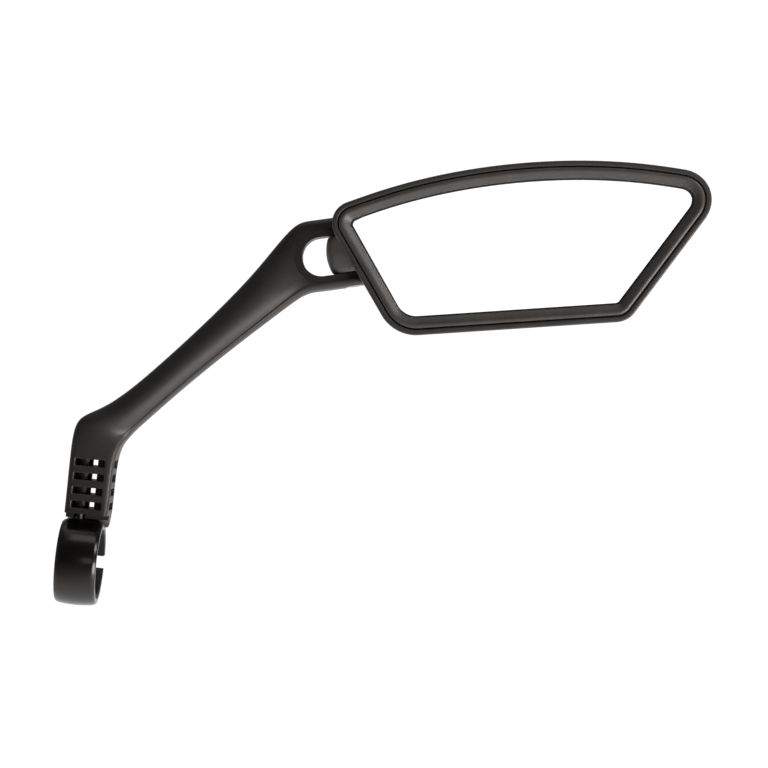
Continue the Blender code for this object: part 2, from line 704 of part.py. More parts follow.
def build_tilt_pivot(steel, spring_steel, nylon, head):
    """Along the stub: a flanged bush, a spring washer, a retaining washer and the screw."""
    centre = (0, TILT_Y, SLOT_MID_V)
    bore = STUB_R + GAP
    flange_end = BUSH_START + BUSH_FLANGE
    profile = [
        (bore, BUSH_END), (BUSH_R, BUSH_END), (BUSH_R, flange_end), (BUSH_FLANGE_R, flange_end),
        (BUSH_FLANGE_R, BUSH_START), (bore, BUSH_START),
    ]
    turned("tilt_bush", "x", centre, profile, True, steps=ROUND, parent=head, material=nylon)
    spring_start = BUSH_END + GAP
    washer("tilt_spring_washer", "x", centre, spring_start, spring_start + 0.6 * MM, bore, 6.3 * MM,
           parent=head, material=spring_steel)
    plate_start = spring_start + 0.6 * MM + GAP
    plate_end = plate_start + 1.2 * MM
    washer("tilt_retainer_washer", "x", centre, plate_start, plate_end, M3_HOLE_R, 6.3 * MM, parent=head,
           material=steel)
    seat = plate_end + GAP
    socket_screw("tilt_screw", "x", centre, seat + 2.4 * MM, seat, STUB_BORE_START + 0.8 * MM, M3_R,
                 2.75 * MM, 2.5 * MM, parent=head, material=steel)


# ---------------------------------------------------------------------------------------------
# Head

def dome_depth(u):
    """How far the dome stands behind the floor: deep beside the knuckle, shallow at the far end."""
    near = 24 * MM
    far = 128 * MM
    t = min(max((u - near) / (far - near), 0.0), 1.0)
    return DOME_DEEP + (DOME_SHALLOW - DOME_DEEP) * t * t * (3 - 2 * t)


def dome_rings(inset, base):
    """Rings over the dome from its base outline up to its crest, in head axes."""
    outline = rounded_outline(DOME_CORNERS, inset)
    middle = sum(outline, Vector((0.0, 0.0))) / len(outline)
    power = 2 / DOME_SQUARENESS
    rings = []
    for step in range(DOME_RINGS):
        angle = math.radians(90.0) * step / (DOME_RINGS - 1)
        scale = DOME_PLATEAU + (1 - DOME_PLATEAU) * max(math.cos(angle), 0.0) ** power
        rise = math.sin(angle) ** power
        ring = []
        for point in outline:
            place = middle + (point - middle) * scale
            ring.append((place.x, -base + dome_depth(place.x) * rise, place.y))
        rings.append(ring)
    return rings


def build_back_housing(material, head):
    """A dish with a rim round the bezel, a floor, and a dome behind it that holds the tilt pivot."""
    soft = 1.0 * MM
    outer = [
        head_ring(HEAD_CORNERS, 0.5 * MM, RIM_FRONT),
        head_ring(HEAD_CORNERS, 0.0, RIM_FRONT - 0.5 * MM),
        head_ring(HEAD_CORNERS, 0.0, FLOOR_BACK + 2 * soft),
        head_ring(HEAD_CORNERS, 0.5 * soft, FLOOR_BACK + 0.6 * soft),
        head_ring(HEAD_CORNERS, 2 * soft, FLOOR_BACK),
    ]
    outer += dome_rings(0.0, FLOOR_BACK)
    inner = [
        head_ring(HEAD_CORNERS, RIM_WALL, RIM_FRONT),
        head_ring(HEAD_CORNERS, RIM_WALL, FLOOR_FRONT),
    ]
    inner += dome_rings(DOME_WALL, FLOOR_FRONT)
    bm = bmesh.new()
    skins = []
    for rings in (outer, inner):
        rows = [[bm.verts.new(point) for point in ring] for ring in rings]
        for row, after in zip(rows, rows[1:]):
            for i in range(len(row)):
                j = (i + 1) % len(row)
                bm.faces.new((row[i], row[j], after[j], after[i]))
        crest = rows[-1]
        middle = bm.verts.new(sum((v.co for v in crest), Vector()) / len(crest))
        for i in range(len(crest)):
            bm.faces.new((crest[i], crest[(i + 1) % len(crest)], middle))
        skins.append(rows[0])
    for i in range(len(skins[0])):
        j = (i + 1) % len(skins[0])
        bm.faces.new((skins[0][i], skins[0][j], skins[1][j], skins[1][i]))
    bmesh.ops.recalc_face_normals(bm, faces=bm.faces)
    mesh = mesh_from(bm, "back_housing")
    shade(mesh)
    housing = add_object("back_housing", mesh, parent=head, material=material)
    centre = (0, TILT_Y, SLOT_MID_V)
    boss = rod("tilt_boss", "x", centre, BOSS_START, BOSS_END, BOSS_R, sides=ROUND, parent=head, cutter=True)
    bore = rod("tilt_boss_bore", "x", centre, BOSS_START - MM, BOSS_END + MM, BUSH_R + GAP, sides=ROUND,
               parent=head, cutter=True)
    join(housing, boss)
    cut(housing, bore)
    return housing


def head_frame(name, profile, head, material):
    """A closed section of (inset, distance forward) pairs carried round the head's outline."""
    rings = [head_ring(HEAD_CORNERS, inset, forward) for inset, forward in profile]
    return loft(name, rings, end_caps=False, parent=head, material=material)


def head_plate(name, inset, back, front, head, material):
    rings = [head_ring(HEAD_CORNERS, inset, back), head_ring(HEAD_CORNERS, inset, front)]
    return loft(name, rings, parent=head, material=material)


def build_head_front(plastic, rubber, foam, mirror, head):
    pad_back = FLOOR_FRONT + GAP
    pad_front = pad_back + PAD_THICKNESS
    glass_back = pad_front + GAP
    glass_front = glass_back + GLASS_THICKNESS
    gasket_back = glass_front + GAP
    gasket_front = gasket_back + GASKET_THICKNESS
    lip_back = gasket_front + GAP
    head_plate("backing_pad", RIM_WALL + GAP, pad_back, pad_front, head, foam)
    head_plate("mirror_glass", GLASS_INSET, glass_back, glass_front, head, mirror)
    head_frame("glass_gasket", [
        (GLASS_INSET, gasket_back),
        (GLASS_INSET, gasket_front),
        (GASKET_EDGE_INSET, gasket_front),
        (GASKET_EDGE_INSET, gasket_back),
    ], head, rubber)
    head_frame("bezel", [
        (BEZEL_INSET, glass_back),
        (BEZEL_INSET, BEZEL_FRONT - 0.9 * MM),
        (BEZEL_INSET + 0.6 * MM, BEZEL_FRONT - 0.2 * MM),
        (BEZEL_INSET + 1.5 * MM, BEZEL_FRONT),
        (BEZEL_EDGE_INSET - 1.2 * MM, BEZEL_FRONT - 0.2 * MM),
        (BEZEL_EDGE_INSET, BEZEL_FRONT - 1.0 * MM),
        (BEZEL_EDGE_INSET, lip_back),
        (BEZEL_LEG_INSET, lip_back),
        (BEZEL_LEG_INSET, glass_back),
    ], head, plastic)


# ---------------------------------------------------------------------------------------------

def main():
    clear_scene()
    make_collection(PART_COLLECTION)
    make_collection(CUTTER_COLLECTION)
    satin = make_material("satin_plastic", (0.022, 0.020, 0.019), 0.42, 0.0)
    gloss = make_material("gloss_plastic", (0.014, 0.013, 0.013), 0.18, 0.0)
    rubber = make_material("rubber", (0.012, 0.012, 0.012), 0.8, 0.0)
    foam = make_material("foam", (0.05, 0.05, 0.05), 0.9, 0.0)
    nylon = make_material("nylon", (0.06, 0.06, 0.058), 0.45, 0.0)
    steel = make_material("steel", (0.55, 0.55, 0.56), 0.3, 1.0)
    spring_steel = make_material("spring_steel", (0.35, 0.36, 0.38), 0.35, 1.0)
    brass = make_material("brass", (0.72, 0.55, 0.25), 0.3, 1.0)
    mirror = make_material("mirror", (0.92, 0.93, 0.94), 0.02, 1.0)
    head = head_axes()
    build_clamp_ring(gloss)
    build_clamp_liner(rubber)
    build_clamp_fasteners(steel)
    build_arm(satin, head)
    build_neck_fasteners(steel, brass)
    build_knuckle(satin, head)
    build_hinge_fasteners(steel, spring_steel, nylon, head)
    build_tilt_pivot(steel, spring_steel, nylon, head)
    build_back_housing(satin, head)
    build_head_front(satin, rubber, foam, mirror, head)


main()
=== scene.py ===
"""Handlebar mirror for a bicycle, right-hand side: its finished surfaces round the fixed frame.

Lengths are in metres. The head has axes of its own at the pin of the fork: u runs out along the
head and v up the pin. -Y is the glass side, and "forward" is the distance in front of the pin.
"""

import json
import math
from contextlib import contextmanager

import bmesh
import bpy
from mathutils import Matrix, Vector


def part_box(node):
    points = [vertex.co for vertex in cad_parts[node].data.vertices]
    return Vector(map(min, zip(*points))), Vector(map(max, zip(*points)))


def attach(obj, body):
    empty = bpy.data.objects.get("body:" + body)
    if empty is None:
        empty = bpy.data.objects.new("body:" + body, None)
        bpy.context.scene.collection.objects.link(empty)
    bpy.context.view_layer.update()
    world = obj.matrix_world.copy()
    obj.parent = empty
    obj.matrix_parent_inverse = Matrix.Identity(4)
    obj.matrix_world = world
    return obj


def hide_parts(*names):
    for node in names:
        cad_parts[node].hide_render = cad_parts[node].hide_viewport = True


MM = 0.001

# Head outline: corners (u, v) and corner radius. The second corner is the long arch of the top.
HEAD_CORNERS = [
    ((-8.1, 15.8), 7.8),
    ((63.1, 30.4), 230.0),
    ((137.5, 7.1), 10.8),
    ((93.0, -37.5), 8.3),
    ((10.9, -31.4), 14.2),
]
DOME_CORNERS = [
    ((11.6, 15.2), 7.0),
    ((63.0, 25.5), 150.0),
    ((125.0, 5.6), 9.0),
    ((91.0, -31.0), 9.0),
    ((17.4, -26.0), 11.0),
]
CORNER_STEPS = [12, 28, 14, 10, 14]
INNER_CORNER_R = 2.4 * MM           # least corner radius of the bezel's opening
OUTLINE_EASE = 0.11 * MM            # keeps the fine outline inside the frame's coarser one

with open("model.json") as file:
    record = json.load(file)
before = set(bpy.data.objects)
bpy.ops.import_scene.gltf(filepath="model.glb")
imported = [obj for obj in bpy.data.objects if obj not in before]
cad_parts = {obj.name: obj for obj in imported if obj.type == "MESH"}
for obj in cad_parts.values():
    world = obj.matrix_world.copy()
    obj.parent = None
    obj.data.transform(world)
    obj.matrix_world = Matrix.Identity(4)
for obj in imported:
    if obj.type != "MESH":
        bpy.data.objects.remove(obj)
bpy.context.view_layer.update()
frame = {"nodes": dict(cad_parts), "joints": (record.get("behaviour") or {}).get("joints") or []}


# ---------------------------------------------------------------------------------------------
# Finishes

class Value:
    """A socket that varies over a surface. Arithmetic on it adds Math nodes."""

    def __init__(self, finish, socket):
        self.finish = finish
        self.socket = socket

    def reckon(self, operation, first, second):
        return self.finish.node("ShaderNodeMath", {"operation": operation}, {0: first, 1: second})

    def __add__(self, other):
        return self.reckon("ADD", self, other)

    def __radd__(self, other):
        return self.reckon("ADD", other, self)

    def __sub__(self, other):
        return self.reckon("SUBTRACT", self, other)

    def __rsub__(self, other):
        return self.reckon("SUBTRACT", other, self)

    def __mul__(self, other):
        return self.reckon("MULTIPLY", self, other)

    def __rmul__(self, other):
        return self.reckon("MULTIPLY", other, self)


class Finish:
    """A material built up node by node round its Principled shader."""

    def __init__(self, name, **constants):
        self.material = bpy.data.materials.new(name)
        self.material.use_nodes = True
        self.tree = self.material.node_tree
        self.shader = self.tree.nodes["Principled BSDF"]
        for socket, value in constants.items():
            self.shader.inputs[socket.replace("_", " ")].default_value = value
        self.place = self.node("ShaderNodeTexCoord", output="Object")

    def node(self, kind, settings=None, inputs=None, output=0):
        node = self.tree.nodes.new(kind)
        for key, value in (settings or {}).items():
            if key == "stops":
                self.set_stops(node.color_ramp, value)
            else:
                setattr(node, key, value)
        for key, value in (inputs or {}).items():
            if isinstance(value, Value):
                self.tree.links.new(value.socket, node.inputs[key])
            else:
                node.inputs[key].default_value = value
        return Value(self, node.outputs[output])

    def set_stops(self, ramp, stops):
        while len(ramp.elements) < len(stops):
            ramp.elements.new(1.0)
        for element, (position, shade) in zip(ramp.elements, stops):
            element.position = position
            element.color = (shade, shade, shade, 1.0)

    def feed(self, socket, value):
        self.tree.links.new(value.socket, self.shader.inputs[socket])

    def noise(self, scale, detail=2.0, stretch=None):
        """Noise of about one blotch per 1/scale metres, drawn out along an axis if asked."""
        place = self.place
        if stretch:
            place = self.node("ShaderNodeMapping", None, {"Vector": place, "Scale": stretch})
        return self.node("ShaderNodeTexNoise", None, {"Vector": place, "Scale": scale, "Detail": detail})

    def ramp(self, value, *stops):
        return self.node("ShaderNodeValToRGB", {"stops": stops}, {"Fac": value})

    def mix(self, factor, first, second):
        return self.node("ShaderNodeMix", {"data_type": "RGBA"}, {0: factor, 6: first, 7: second}, output=2)

    def bump(self, height, strength, distance):
        bumped = self.node("ShaderNodeBump", None,
                           {"Strength": strength, "Distance": distance, "Height": height})
        self.feed("Normal", bumped)


def colour(red, green, blue):
    return (red, green, blue, 1.0)


WARM = colour(1.0, 0.94, 0.885)     # the sheen of black plastic with a brown cast


def satin_plastic(name="satin_plastic", dark=(0.0085, 0.0072, 0.0064), pale=(0.0125, 0.0108, 0.0096),
                  roughness=0.36):
    """Black moulded plastic with a fine spark-eroded grain, faintly uneven in gloss."""
    finish = Finish(name, Specular_IOR_Level=0.5, Specular_Tint=WARM)
    mottle = finish.ramp(finish.noise(90.0, 3.0), (0.35, 0.0), (0.7, 1.0))
    finish.feed("Base Color", finish.mix(mottle, colour(*dark), colour(*pale)))
    grain = finish.noise(3200.0, 2.0)
    wide = finish.noise(140.0, 3.0)
    finish.feed("Roughness", roughness + 0.09 * wide + 0.05 * grain)
    finish.bump(grain + 0.35 * finish.noise(900.0, 2.0), 0.22, 0.00006)
    return finish.material


def bezel_plastic():
    """The bezel's plastic: greyer and a little silkier, with the tool's fine lines across it."""
    finish = Finish("bezel_plastic", Specular_IOR_Level=0.5, Specular_Tint=WARM)
    mottle = finish.ramp(finish.noise(120.0, 3.0), (0.3, 0.0), (0.75, 1.0))
    finish.feed("Base Color", finish.mix(mottle, colour(0.021, 0.0185, 0.017),
                                         colour(0.032, 0.0285, 0.026)))
    grain = finish.noise(2600.0, 2.0)
    finish.feed("Roughness", 0.34 + 0.12 * grain + 0.05 * finish.noise(160.0, 2.0))
    lines = finish.noise(700.0, 2.0, stretch=(3.0, 1.0, 0.25))
    finish.bump(grain + 0.6 * lines, 0.25, 0.00006)
    return finish.material


def gloss_plastic():
    """The ring's polished black plastic, with a slight swirl in the gloss and hairline marks."""
    finish = Finish("gloss_plastic", Specular_IOR_Level=0.42, Specular_Tint=WARM)
    cloud = finish.ramp(finish.noise(110.0, 3.0), (0.4, 0.0), (0.7, 1.0))
    finish.feed("Base Color", finish.mix(cloud, colour(0.0022, 0.0018, 0.0016),
                                         colour(0.0040, 0.0034, 0.0031)))
    hairlines = finish.ramp(finish.noise(500.0, 3.0, stretch=(0.15, 2.5, 2.5)), (0.62, 0.0), (0.72, 1.0))
    finish.feed("Roughness", 0.17 + 0.05 * finish.noise(260.0, 3.0) + 0.06 * hairlines)
    finish.bump(finish.noise(320.0, 2.0), 0.05, 0.00008)
    return finish.material


def soft_rubber():
    """Matt black rubber with a fine dry grain and pale dust in it."""
    finish = Finish("soft_rubber", Specular_IOR_Level=0.35)
    dust = finish.ramp(finish.noise(700.0, 4.0), (0.58, 0.0), (0.8, 1.0))
    finish.feed("Base Color", finish.mix(dust, colour(0.006, 0.0058, 0.0056), colour(0.019, 0.018, 0.017)))
    finish.feed("Roughness", 0.68 + 0.2 * finish.noise(400.0, 3.0))
    finish.bump(finish.noise(1500.0, 3.0), 0.5, 0.0001)
    return finish.material


def closed_foam():
    """Dark cellular foam."""
    finish = Finish("closed_foam", Roughness=0.9, Specular_IOR_Level=0.25)
    cells = finish.node("ShaderNodeTexVoronoi", None, {"Vector": finish.place, "Scale": 1800.0})
    finish.feed("Base Color", finish.mix(cells, colour(0.02, 0.02, 0.02), colour(0.07, 0.07, 0.068)))
    finish.bump(cells, 0.6, 0.0003)
    return finish.material


def dark_nylon():
    """Graphite-filled nylon for the washers and the bush."""
    finish = Finish("dark_nylon", Specular_IOR_Level=0.45)
    flecks = finish.ramp(finish.noise(1300.0, 3.0), (0.45, 0.0), (0.75, 1.0))
    finish.feed("Base Color", finish.mix(flecks, colour(0.03, 0.03, 0.03), colour(0.075, 0.074, 0.072)))
    finish.feed("Roughness", 0.38 + 0.15 * finish.noise(500.0, 2.0))
    finish.bump(finish.noise(1900.0, 2.0), 0.25, 0.00008)
    return finish.material


def plain_metal(name, dull, bright, roughness, stretch):
    """Turned or rolled metal: fine drawn lines, with small changes of tone and polish."""
    finish = Finish(name, Metallic=1.0)
    drawn = finish.noise(1500.0, 3.0, stretch=stretch)
    patches = finish.ramp(finish.noise(450.0, 3.0), (0.35, 0.0), (0.7, 1.0))
    finish.feed("Base Color", finish.mix(patches, colour(*dull), colour(*bright)))
    finish.feed("Roughness", roughness + 0.16 * drawn + 0.08 * patches)
    finish.bump(drawn, 0.18, 0.00005)
    return finish.material


def mirror_silver():
    """Silvered glass, all but perfect, with the faintest haze of handling."""
    finish = Finish("mirror_silver", Metallic=1.0)
    haze = finish.ramp(finish.noise(38.0, 4.0), (0.5, 0.0), (0.85, 1.0))
    finish.feed("Base Color", finish.mix(haze, colour(0.955, 0.962, 0.965), colour(0.925, 0.934, 0.94)))
    finish.feed("Roughness", 0.006 + 0.03 * haze)
    return finish.material


SATIN = satin_plastic()
KNUCKLE_SATIN = satin_plastic("knuckle_plastic", (0.095, 0.088, 0.082), (0.145, 0.135, 0.127), 0.40)
# Painted shade: a darker copy of the satin plastic, put on the floor of the sunk rim round the fork's slot
# so the prong there looks shaded.
SHADE_PAINTED_SATIN = satin_plastic("recess_painted_shade", (0.0035, 0.003, 0.0027), (0.006, 0.0052, 0.0047), 0.30)
HOUSING_SATIN = satin_plastic("housing_plastic", (0.0125, 0.0112, 0.0102),
                              (0.0185, 0.0166, 0.0152), 0.33)
BEZEL = bezel_plastic()
GLOSS = gloss_plastic()
RUBBER = soft_rubber()
FOAM = closed_foam()
NYLON = dark_nylon()
STEEL = plain_metal("zinc_steel", (0.40, 0.41, 0.43), (0.60, 0.60, 0.61), 0.20, (0.3, 3.0, 3.0))
BLACK_STEEL = plain_metal("blackened_steel", (0.025, 0.025, 0.027), (0.06, 0.06, 0.062), 0.30,
                          (3.0, 3.0, 0.4))
SPRING_STEEL = plain_metal("spring_steel", (0.20, 0.21, 0.23), (0.36, 0.37, 0.39), 0.26,
                           (3.0, 0.4, 3.0))
BRASS = plain_metal("brass", (0.60, 0.42, 0.16), (0.78, 0.60, 0.28), 0.22, (3.0, 3.0, 0.3))
MIRROR = mirror_silver()


# ---------------------------------------------------------------------------------------------
# Working a mesh as by hand

def start_clear():
    """A new primitive is shaped with nothing else selected."""
    bpy.ops.object.select_all(action="DESELECT")


def take(name, *finishes):
    """Names the piece just added, applies its turn and size, and gives it its finishes."""
    piece = bpy.context.active_object
    piece.name = name
    piece.data.name = name
    bpy.ops.object.transform_apply(location=True, rotation=True, scale=True)
    for finish in finishes:
        piece.data.materials.append(finish)
    return piece


def hold(piece):
    start_clear()
    piece.select_set(True)
    bpy.context.view_layer.objects.active = piece


@contextmanager
def shaping(piece):
    hold(piece)
    bpy.ops.object.mode_set(mode="EDIT")
    bpy.ops.mesh.select_mode(type="FACE")
    bpy.ops.mesh.select_all(action="DESELECT")
    yield
    bpy.ops.object.mode_set(mode="OBJECT")


def pick(test, kind="FACE"):
    """Selects the faces, edges or corners in hand that pass the test."""
    bpy.ops.mesh.select_mode(type=kind)
    bpy.ops.mesh.select_all(action="DESELECT")
    mesh = bpy.context.active_object.data
    shape = bmesh.from_edit_mesh(mesh)
    parts = {"FACE": shape.faces, "EDGE": shape.edges, "VERT": shape.verts}[kind]
    for part in parts:
        if test(part):
            part.select_set(True)
    shape.select_flush_mode()
    bmesh.update_edit_mesh(mesh)


def pick_nearest_corner(place):
    shape = bmesh.from_edit_mesh(bpy.context.active_object.data)
    nearest = min(shape.verts, key=lambda corner: (corner.co - place).length).co.copy()
    pick(lambda corner: (corner.co - nearest).length < 1e-7, "VERT")


def set_corners(places):
    """Drags the corners of a fresh circle, in order, to their places."""
    for index, place in enumerate(places):
        shape = bmesh.from_edit_mesh(bpy.context.active_object.data)
        shape.verts.ensure_lookup_table()
        bpy.ops.mesh.select_mode(type="VERT")
        bpy.ops.mesh.select_all(action="DESELECT")
        shape.verts[index].select_set(True)
        shape.select_flush_mode()
        bpy.ops.transform.translate(value=Vector(place) - shape.verts[index].co)


def push(move):
    bpy.ops.mesh.extrude_region_move(TRANSFORM_OT_translate={"value": move})


def work_inwards(profile, side):
    """Takes the face in hand through (inset, distance) steps: a step is an inset or an extrusion.
    The side is -1 for a front face, whose distances run forward, and 1 for a back face."""
    for (inset, along), (next_inset, next_along) in zip(profile, profile[1:]):
        if abs(next_inset - inset) < 1e-9:
            push((0.0, -(next_along - along), 0.0))
        else:
            depth = (next_along - along) * (-side)
            bpy.ops.mesh.inset(thickness=next_inset - inset, depth=depth)


def merge(distance=1e-6):
    bpy.ops.mesh.select_all(action="SELECT")
    bpy.ops.mesh.remove_doubles(threshold=distance)
    bpy.ops.mesh.normals_make_consistent(inside=False)


def smooth(piece, angle=32.0):
    hold(piece)
    bpy.ops.object.shade_smooth_by_angle(angle=math.radians(angle))


def finish_with(piece, kind, **settings):
    """Adds a modifier and applies it."""
    hold(piece)
    step = piece.modifiers.new(kind.lower(), kind)
    for key, value in settings.items():
        setattr(step, key, value)
    bpy.ops.object.modifier_apply(modifier=step.name)


def combine(piece, operation, *others):
    """Booleans, after which the other shapes are done with."""
    for other in others:
        finish_with(piece, "BOOLEAN", operation=operation, solver="EXACT", object=other)
        bpy.data.objects.remove(other, do_unlink=True)


swivel = next(joint for joint in frame["joints"] if joint["name"] == "head_swivel")
tilt = next(joint for joint in frame["joints"] if joint["name"] == "head_tilt")
PIN = Vector(swivel["pos_m"])
V_AXIS = Vector(swivel["axis"])
U_AXIS = Vector(tilt["axis"])
HEAD = Matrix.Translation(PIN) @ Matrix((U_AXIS, (0.0, 1.0, 0.0), V_AXIS)).transposed().to_4x4()


def set_on_head(*pieces):
    """Moves pieces shaped in the head's axes to their place, and applies it."""
    for piece in pieces:
        hold(piece)
        piece.matrix_world = HEAD
        bpy.ops.object.transform_apply(location=True, rotation=True, scale=True)


# ---------------------------------------------------------------------------------------------
# Solids made from a primitive

def block(name, low, high, soften=0.0, *finishes):
    """A block between two corners, all its edges rounded."""
    low = Vector(low)
    high = Vector(high)
    start_clear()
    bpy.ops.mesh.primitive_cube_add(size=1.0, location=(low + high) / 2, scale=high - low)
    piece = take(name, *finishes)
    if soften:
        with shaping(piece):
            bpy.ops.mesh.select_all(action="SELECT")
            bpy.ops.mesh.bevel(offset=soften, segments=3)
    return piece


AXIS_TURN = {"x": (0.0, math.pi / 2, 0.0), "y": (-math.pi / 2, 0.0, 0.0), "z": (0.0, 0.0, 0.0)}
CUT_PAST = 8 * MM                   # how far a cutter reaches past the face it cuts


def bar(name, axis, centre, start, end, radius, sides=48, *finishes):
    """A round bar, or a hexagonal one, along an axis. The centre's own value there is unused."""
    place = Vector(centre)
    place["xyz".index(axis)] = (start + end) / 2
    start_clear()
    bpy.ops.mesh.primitive_cylinder_add(vertices=sides, radius=radius, depth=end - start, location=place,
                                        rotation=AXIS_TURN[axis])
    return take(name, *finishes)


def turned(name, axis, centre, profile, steps, *finishes):
    """A turned piece. The profile is a closed loop of (radius, distance along the axis) pairs."""
    start_clear()
    bpy.ops.mesh.primitive_circle_add(vertices=len(profile), radius=0.01, fill_type="NOTHING")
    piece = take(name, *finishes)
    along = Vector([1.0 if letter == axis else 0.0 for letter in "xyz"])
    out = Vector((0.0, 0.0, 1.0)) if axis != "z" else Vector((1.0, 0.0, 0.0))
    middle = Vector(centre)
    middle["xyz".index(axis)] = 0.0
    with shaping(piece):
        set_corners([middle + out * radius + along * distance for radius, distance in profile])
        bpy.ops.mesh.select_all(action="SELECT")
        bpy.ops.mesh.spin(steps=steps, angle=2 * math.pi, center=middle, axis=along)
        merge(2e-6)
        bpy.ops.mesh.select_all(action="SELECT")
        bpy.ops.mesh.dissolve_degenerate(threshold=1e-7)
        bpy.ops.mesh.delete_loose()
        bpy.ops.mesh.select_all(action="SELECT")
        bpy.ops.mesh.normals_make_consistent(inside=False)
    return piece


def stadium(name, centre_u, mid_v, radius, back, front, lip=0.0):
    """In the head's axes, a slot's shape: a round end at centre_u, and open past the prong ends.
    The lip is a small chamfer where it comes out of the front and back faces."""
    start_clear()
    bpy.ops.mesh.primitive_cylinder_add(vertices=96, radius=radius, depth=front - back,
                                        location=(centre_u, -(front + back) / 2, mid_v),
                                        rotation=AXIS_TURN["y"])
    piece = take(name)
    with shaping(piece):
        for side in (-1, 1):
            if lip:
                pick(lambda face: face.normal.y * side > 0.9)
                push((0.0, side * lip, 0.0))
                grow = (radius + lip) / radius
                bpy.ops.transform.resize(value=(grow, 1.0, grow),
                                         center_override=(centre_u, 0.0, mid_v))
                push((0.0, side * CUT_PAST, 0.0))
        pick(lambda corner: corner.co.x > centre_u + 0.1 * MM, "VERT")
        bpy.ops.transform.translate(value=(30 * MM, 0.0, 0.0))
    return piece


def pocket(name, size, deep, mouth, lip, side, axis="y", centre=(0.0, 0.0, 0.0)):
    """A pocket's shape along an axis, from its floor to its mouth, with a chamfer at the mouth.
    The size is its width and height, and the side says which way it opens."""
    start_clear()
    bpy.ops.mesh.primitive_cube_add(size=1.0, location=(0, 0, (deep + mouth - lip) / 2),
                                    scale=(size[0], size[1], mouth - lip - deep))
    piece = take(name)
    with shaping(piece):
        pick(lambda edge: abs((edge.verts[0].co - edge.verts[1].co).normalized().z) > 0.9, "EDGE")
        bpy.ops.mesh.bevel(offset=0.35 * MM, segments=2)
        pick(lambda face: face.normal.z > 0.9)
        push((0.0, 0.0, lip))
        wider = ((size[0] + 2 * lip) / size[0], (size[1] + 2 * lip) / size[1], 1.0)
        bpy.ops.transform.resize(value=wider, center_override=(0.0, 0.0, 0.0))
        push((0.0, 0.0, 6 * MM))
    hold(piece)
    outward = Vector((side, 0.0, 0.0)) if axis == "x" else Vector((0.0, side, 0.0))
    up = Vector((0.0, 0.0, 1.0))
    turn = Matrix((up.cross(outward), up, outward)).transposed().to_4x4()
    piece.matrix_world = Matrix.Translation(centre) @ turn
    bpy.ops.object.transform_apply(location=True, rotation=True, scale=True)
    return piece


# ---------------------------------------------------------------------------------------------
# Head

def head_outline(name, corners, inset, forward, *finishes):
    """A flat face with the head's five rounded corners, looking forward."""
    start_clear()
    bpy.ops.mesh.primitive_circle_add(vertices=len(corners), radius=0.05, fill_type="NGON",
                                      rotation=(math.pi / 2, 0, 0))
    outline = take(name, *finishes)
    points = [Vector((u * MM, -forward, v * MM)) for (u, v), radius in reversed(corners)]
    radii = [radius * MM for corner, radius in reversed(corners)]
    steps = list(reversed(CORNER_STEPS))
    with shaping(outline):
        set_corners(points)
        for i, (here, radius) in enumerate(zip(points, radii)):
            before = points[i - 1] - here
            after = points[(i + 1) % len(points)] - here
            half = before.angle(after) / 2
            roundness = (1 + 2 * math.sin(half)) / (2 * (1 + math.sin(half)))
            pick_nearest_corner(here)
            bpy.ops.mesh.bevel(affect="VERTICES", offset_type="OFFSET", offset=radius / math.tan(half),
                               segments=steps[i], profile=roundness ** 2)
        bpy.ops.mesh.select_mode(type="FACE")
        bpy.ops.mesh.select_all(action="SELECT")
        bpy.ops.mesh.inset(thickness=inset + OUTLINE_EASE, depth=0.0)
        pick(lambda face: len(face.verts) == 4)
        bpy.ops.mesh.delete(type="FACE")
    return outline


def head_plate(name, corners, inset, back, front, *finishes):
    """A plate with the head's outline, between two distances forward."""
    plate = head_outline(name, corners, inset, back, *finishes)
    with shaping(plate):
        bpy.ops.mesh.select_all(action="SELECT")
        push((0.0, -(front - back), 0.0))
        merge()
    return plate


def front_face(face):
    return len(face.verts) > 8 and face.normal.y < -0.9


def back_face(face):
    return len(face.verts) > 8 and face.normal.y > 0.9


def open_frame(plate, front_profile, back_profile):
    """Works both faces of a plate inwards and opens the middle, which leaves a frame."""
    with shaping(plate):
        pick(front_face)
        work_inwards(front_profile, -1)
        bpy.ops.mesh.delete(type="ONLY_FACE")
        pick(back_face)
        work_inwards(back_profile, 1)
        bpy.ops.mesh.delete(type="ONLY_FACE")
        pick(lambda edge: len(edge.link_faces) == 1, "EDGE")
        bpy.ops.mesh.bridge_edge_loops()
        merge()


def mm(*pairs):
    return [(inset * MM, forward * MM) for inset, forward in pairs]


def round_inner_corners(piece, loops):
    """Gives loops of (inset, forward) on a frame a larger corner radius than its even band leaves."""
    corners = [(Vector(point) * MM, radius * MM) for point, radius in HEAD_CORNERS]
    with shaping(piece):
        shape = bmesh.from_edit_mesh(piece.data)
        for inset, forward in loops:
            for i, (here, radius) in enumerate(corners):
                if radius - inset >= INNER_CORNER_R:
                    continue
                before = (corners[i - 1][0] - here).normalized()
                after = (corners[(i + 1) % len(corners)][0] - here).normalized()
                half = before.angle(after) / 2
                inward = (before + after).normalized()
                sharp = here + inward * (inset + OUTLINE_EASE) / math.sin(half)
                middle = sharp + inward * INNER_CORNER_R / math.sin(half)
                reach = INNER_CORNER_R / math.tan(half)
                own_middle = here + inward * radius / math.sin(half)
                own_radius = radius - inset - OUTLINE_EASE
                for corner in shape.verts:
                    flat = Vector((corner.co.x, corner.co.z))
                    away = flat - middle
                    in_corner = max((flat - sharp).dot(before), (flat - sharp).dot(after)) < reach
                    if abs(corner.co.y + forward) > 1e-6 or not in_corner or away.length < INNER_CORNER_R:
                        continue
                    if abs((flat - own_middle).length - own_radius) < 0.1 * MM:
                        flat = middle + away.normalized() * INNER_CORNER_R
                        corner.co.x = flat.x
                        corner.co.z = flat.y
        bmesh.update_edit_mesh(piece.data)


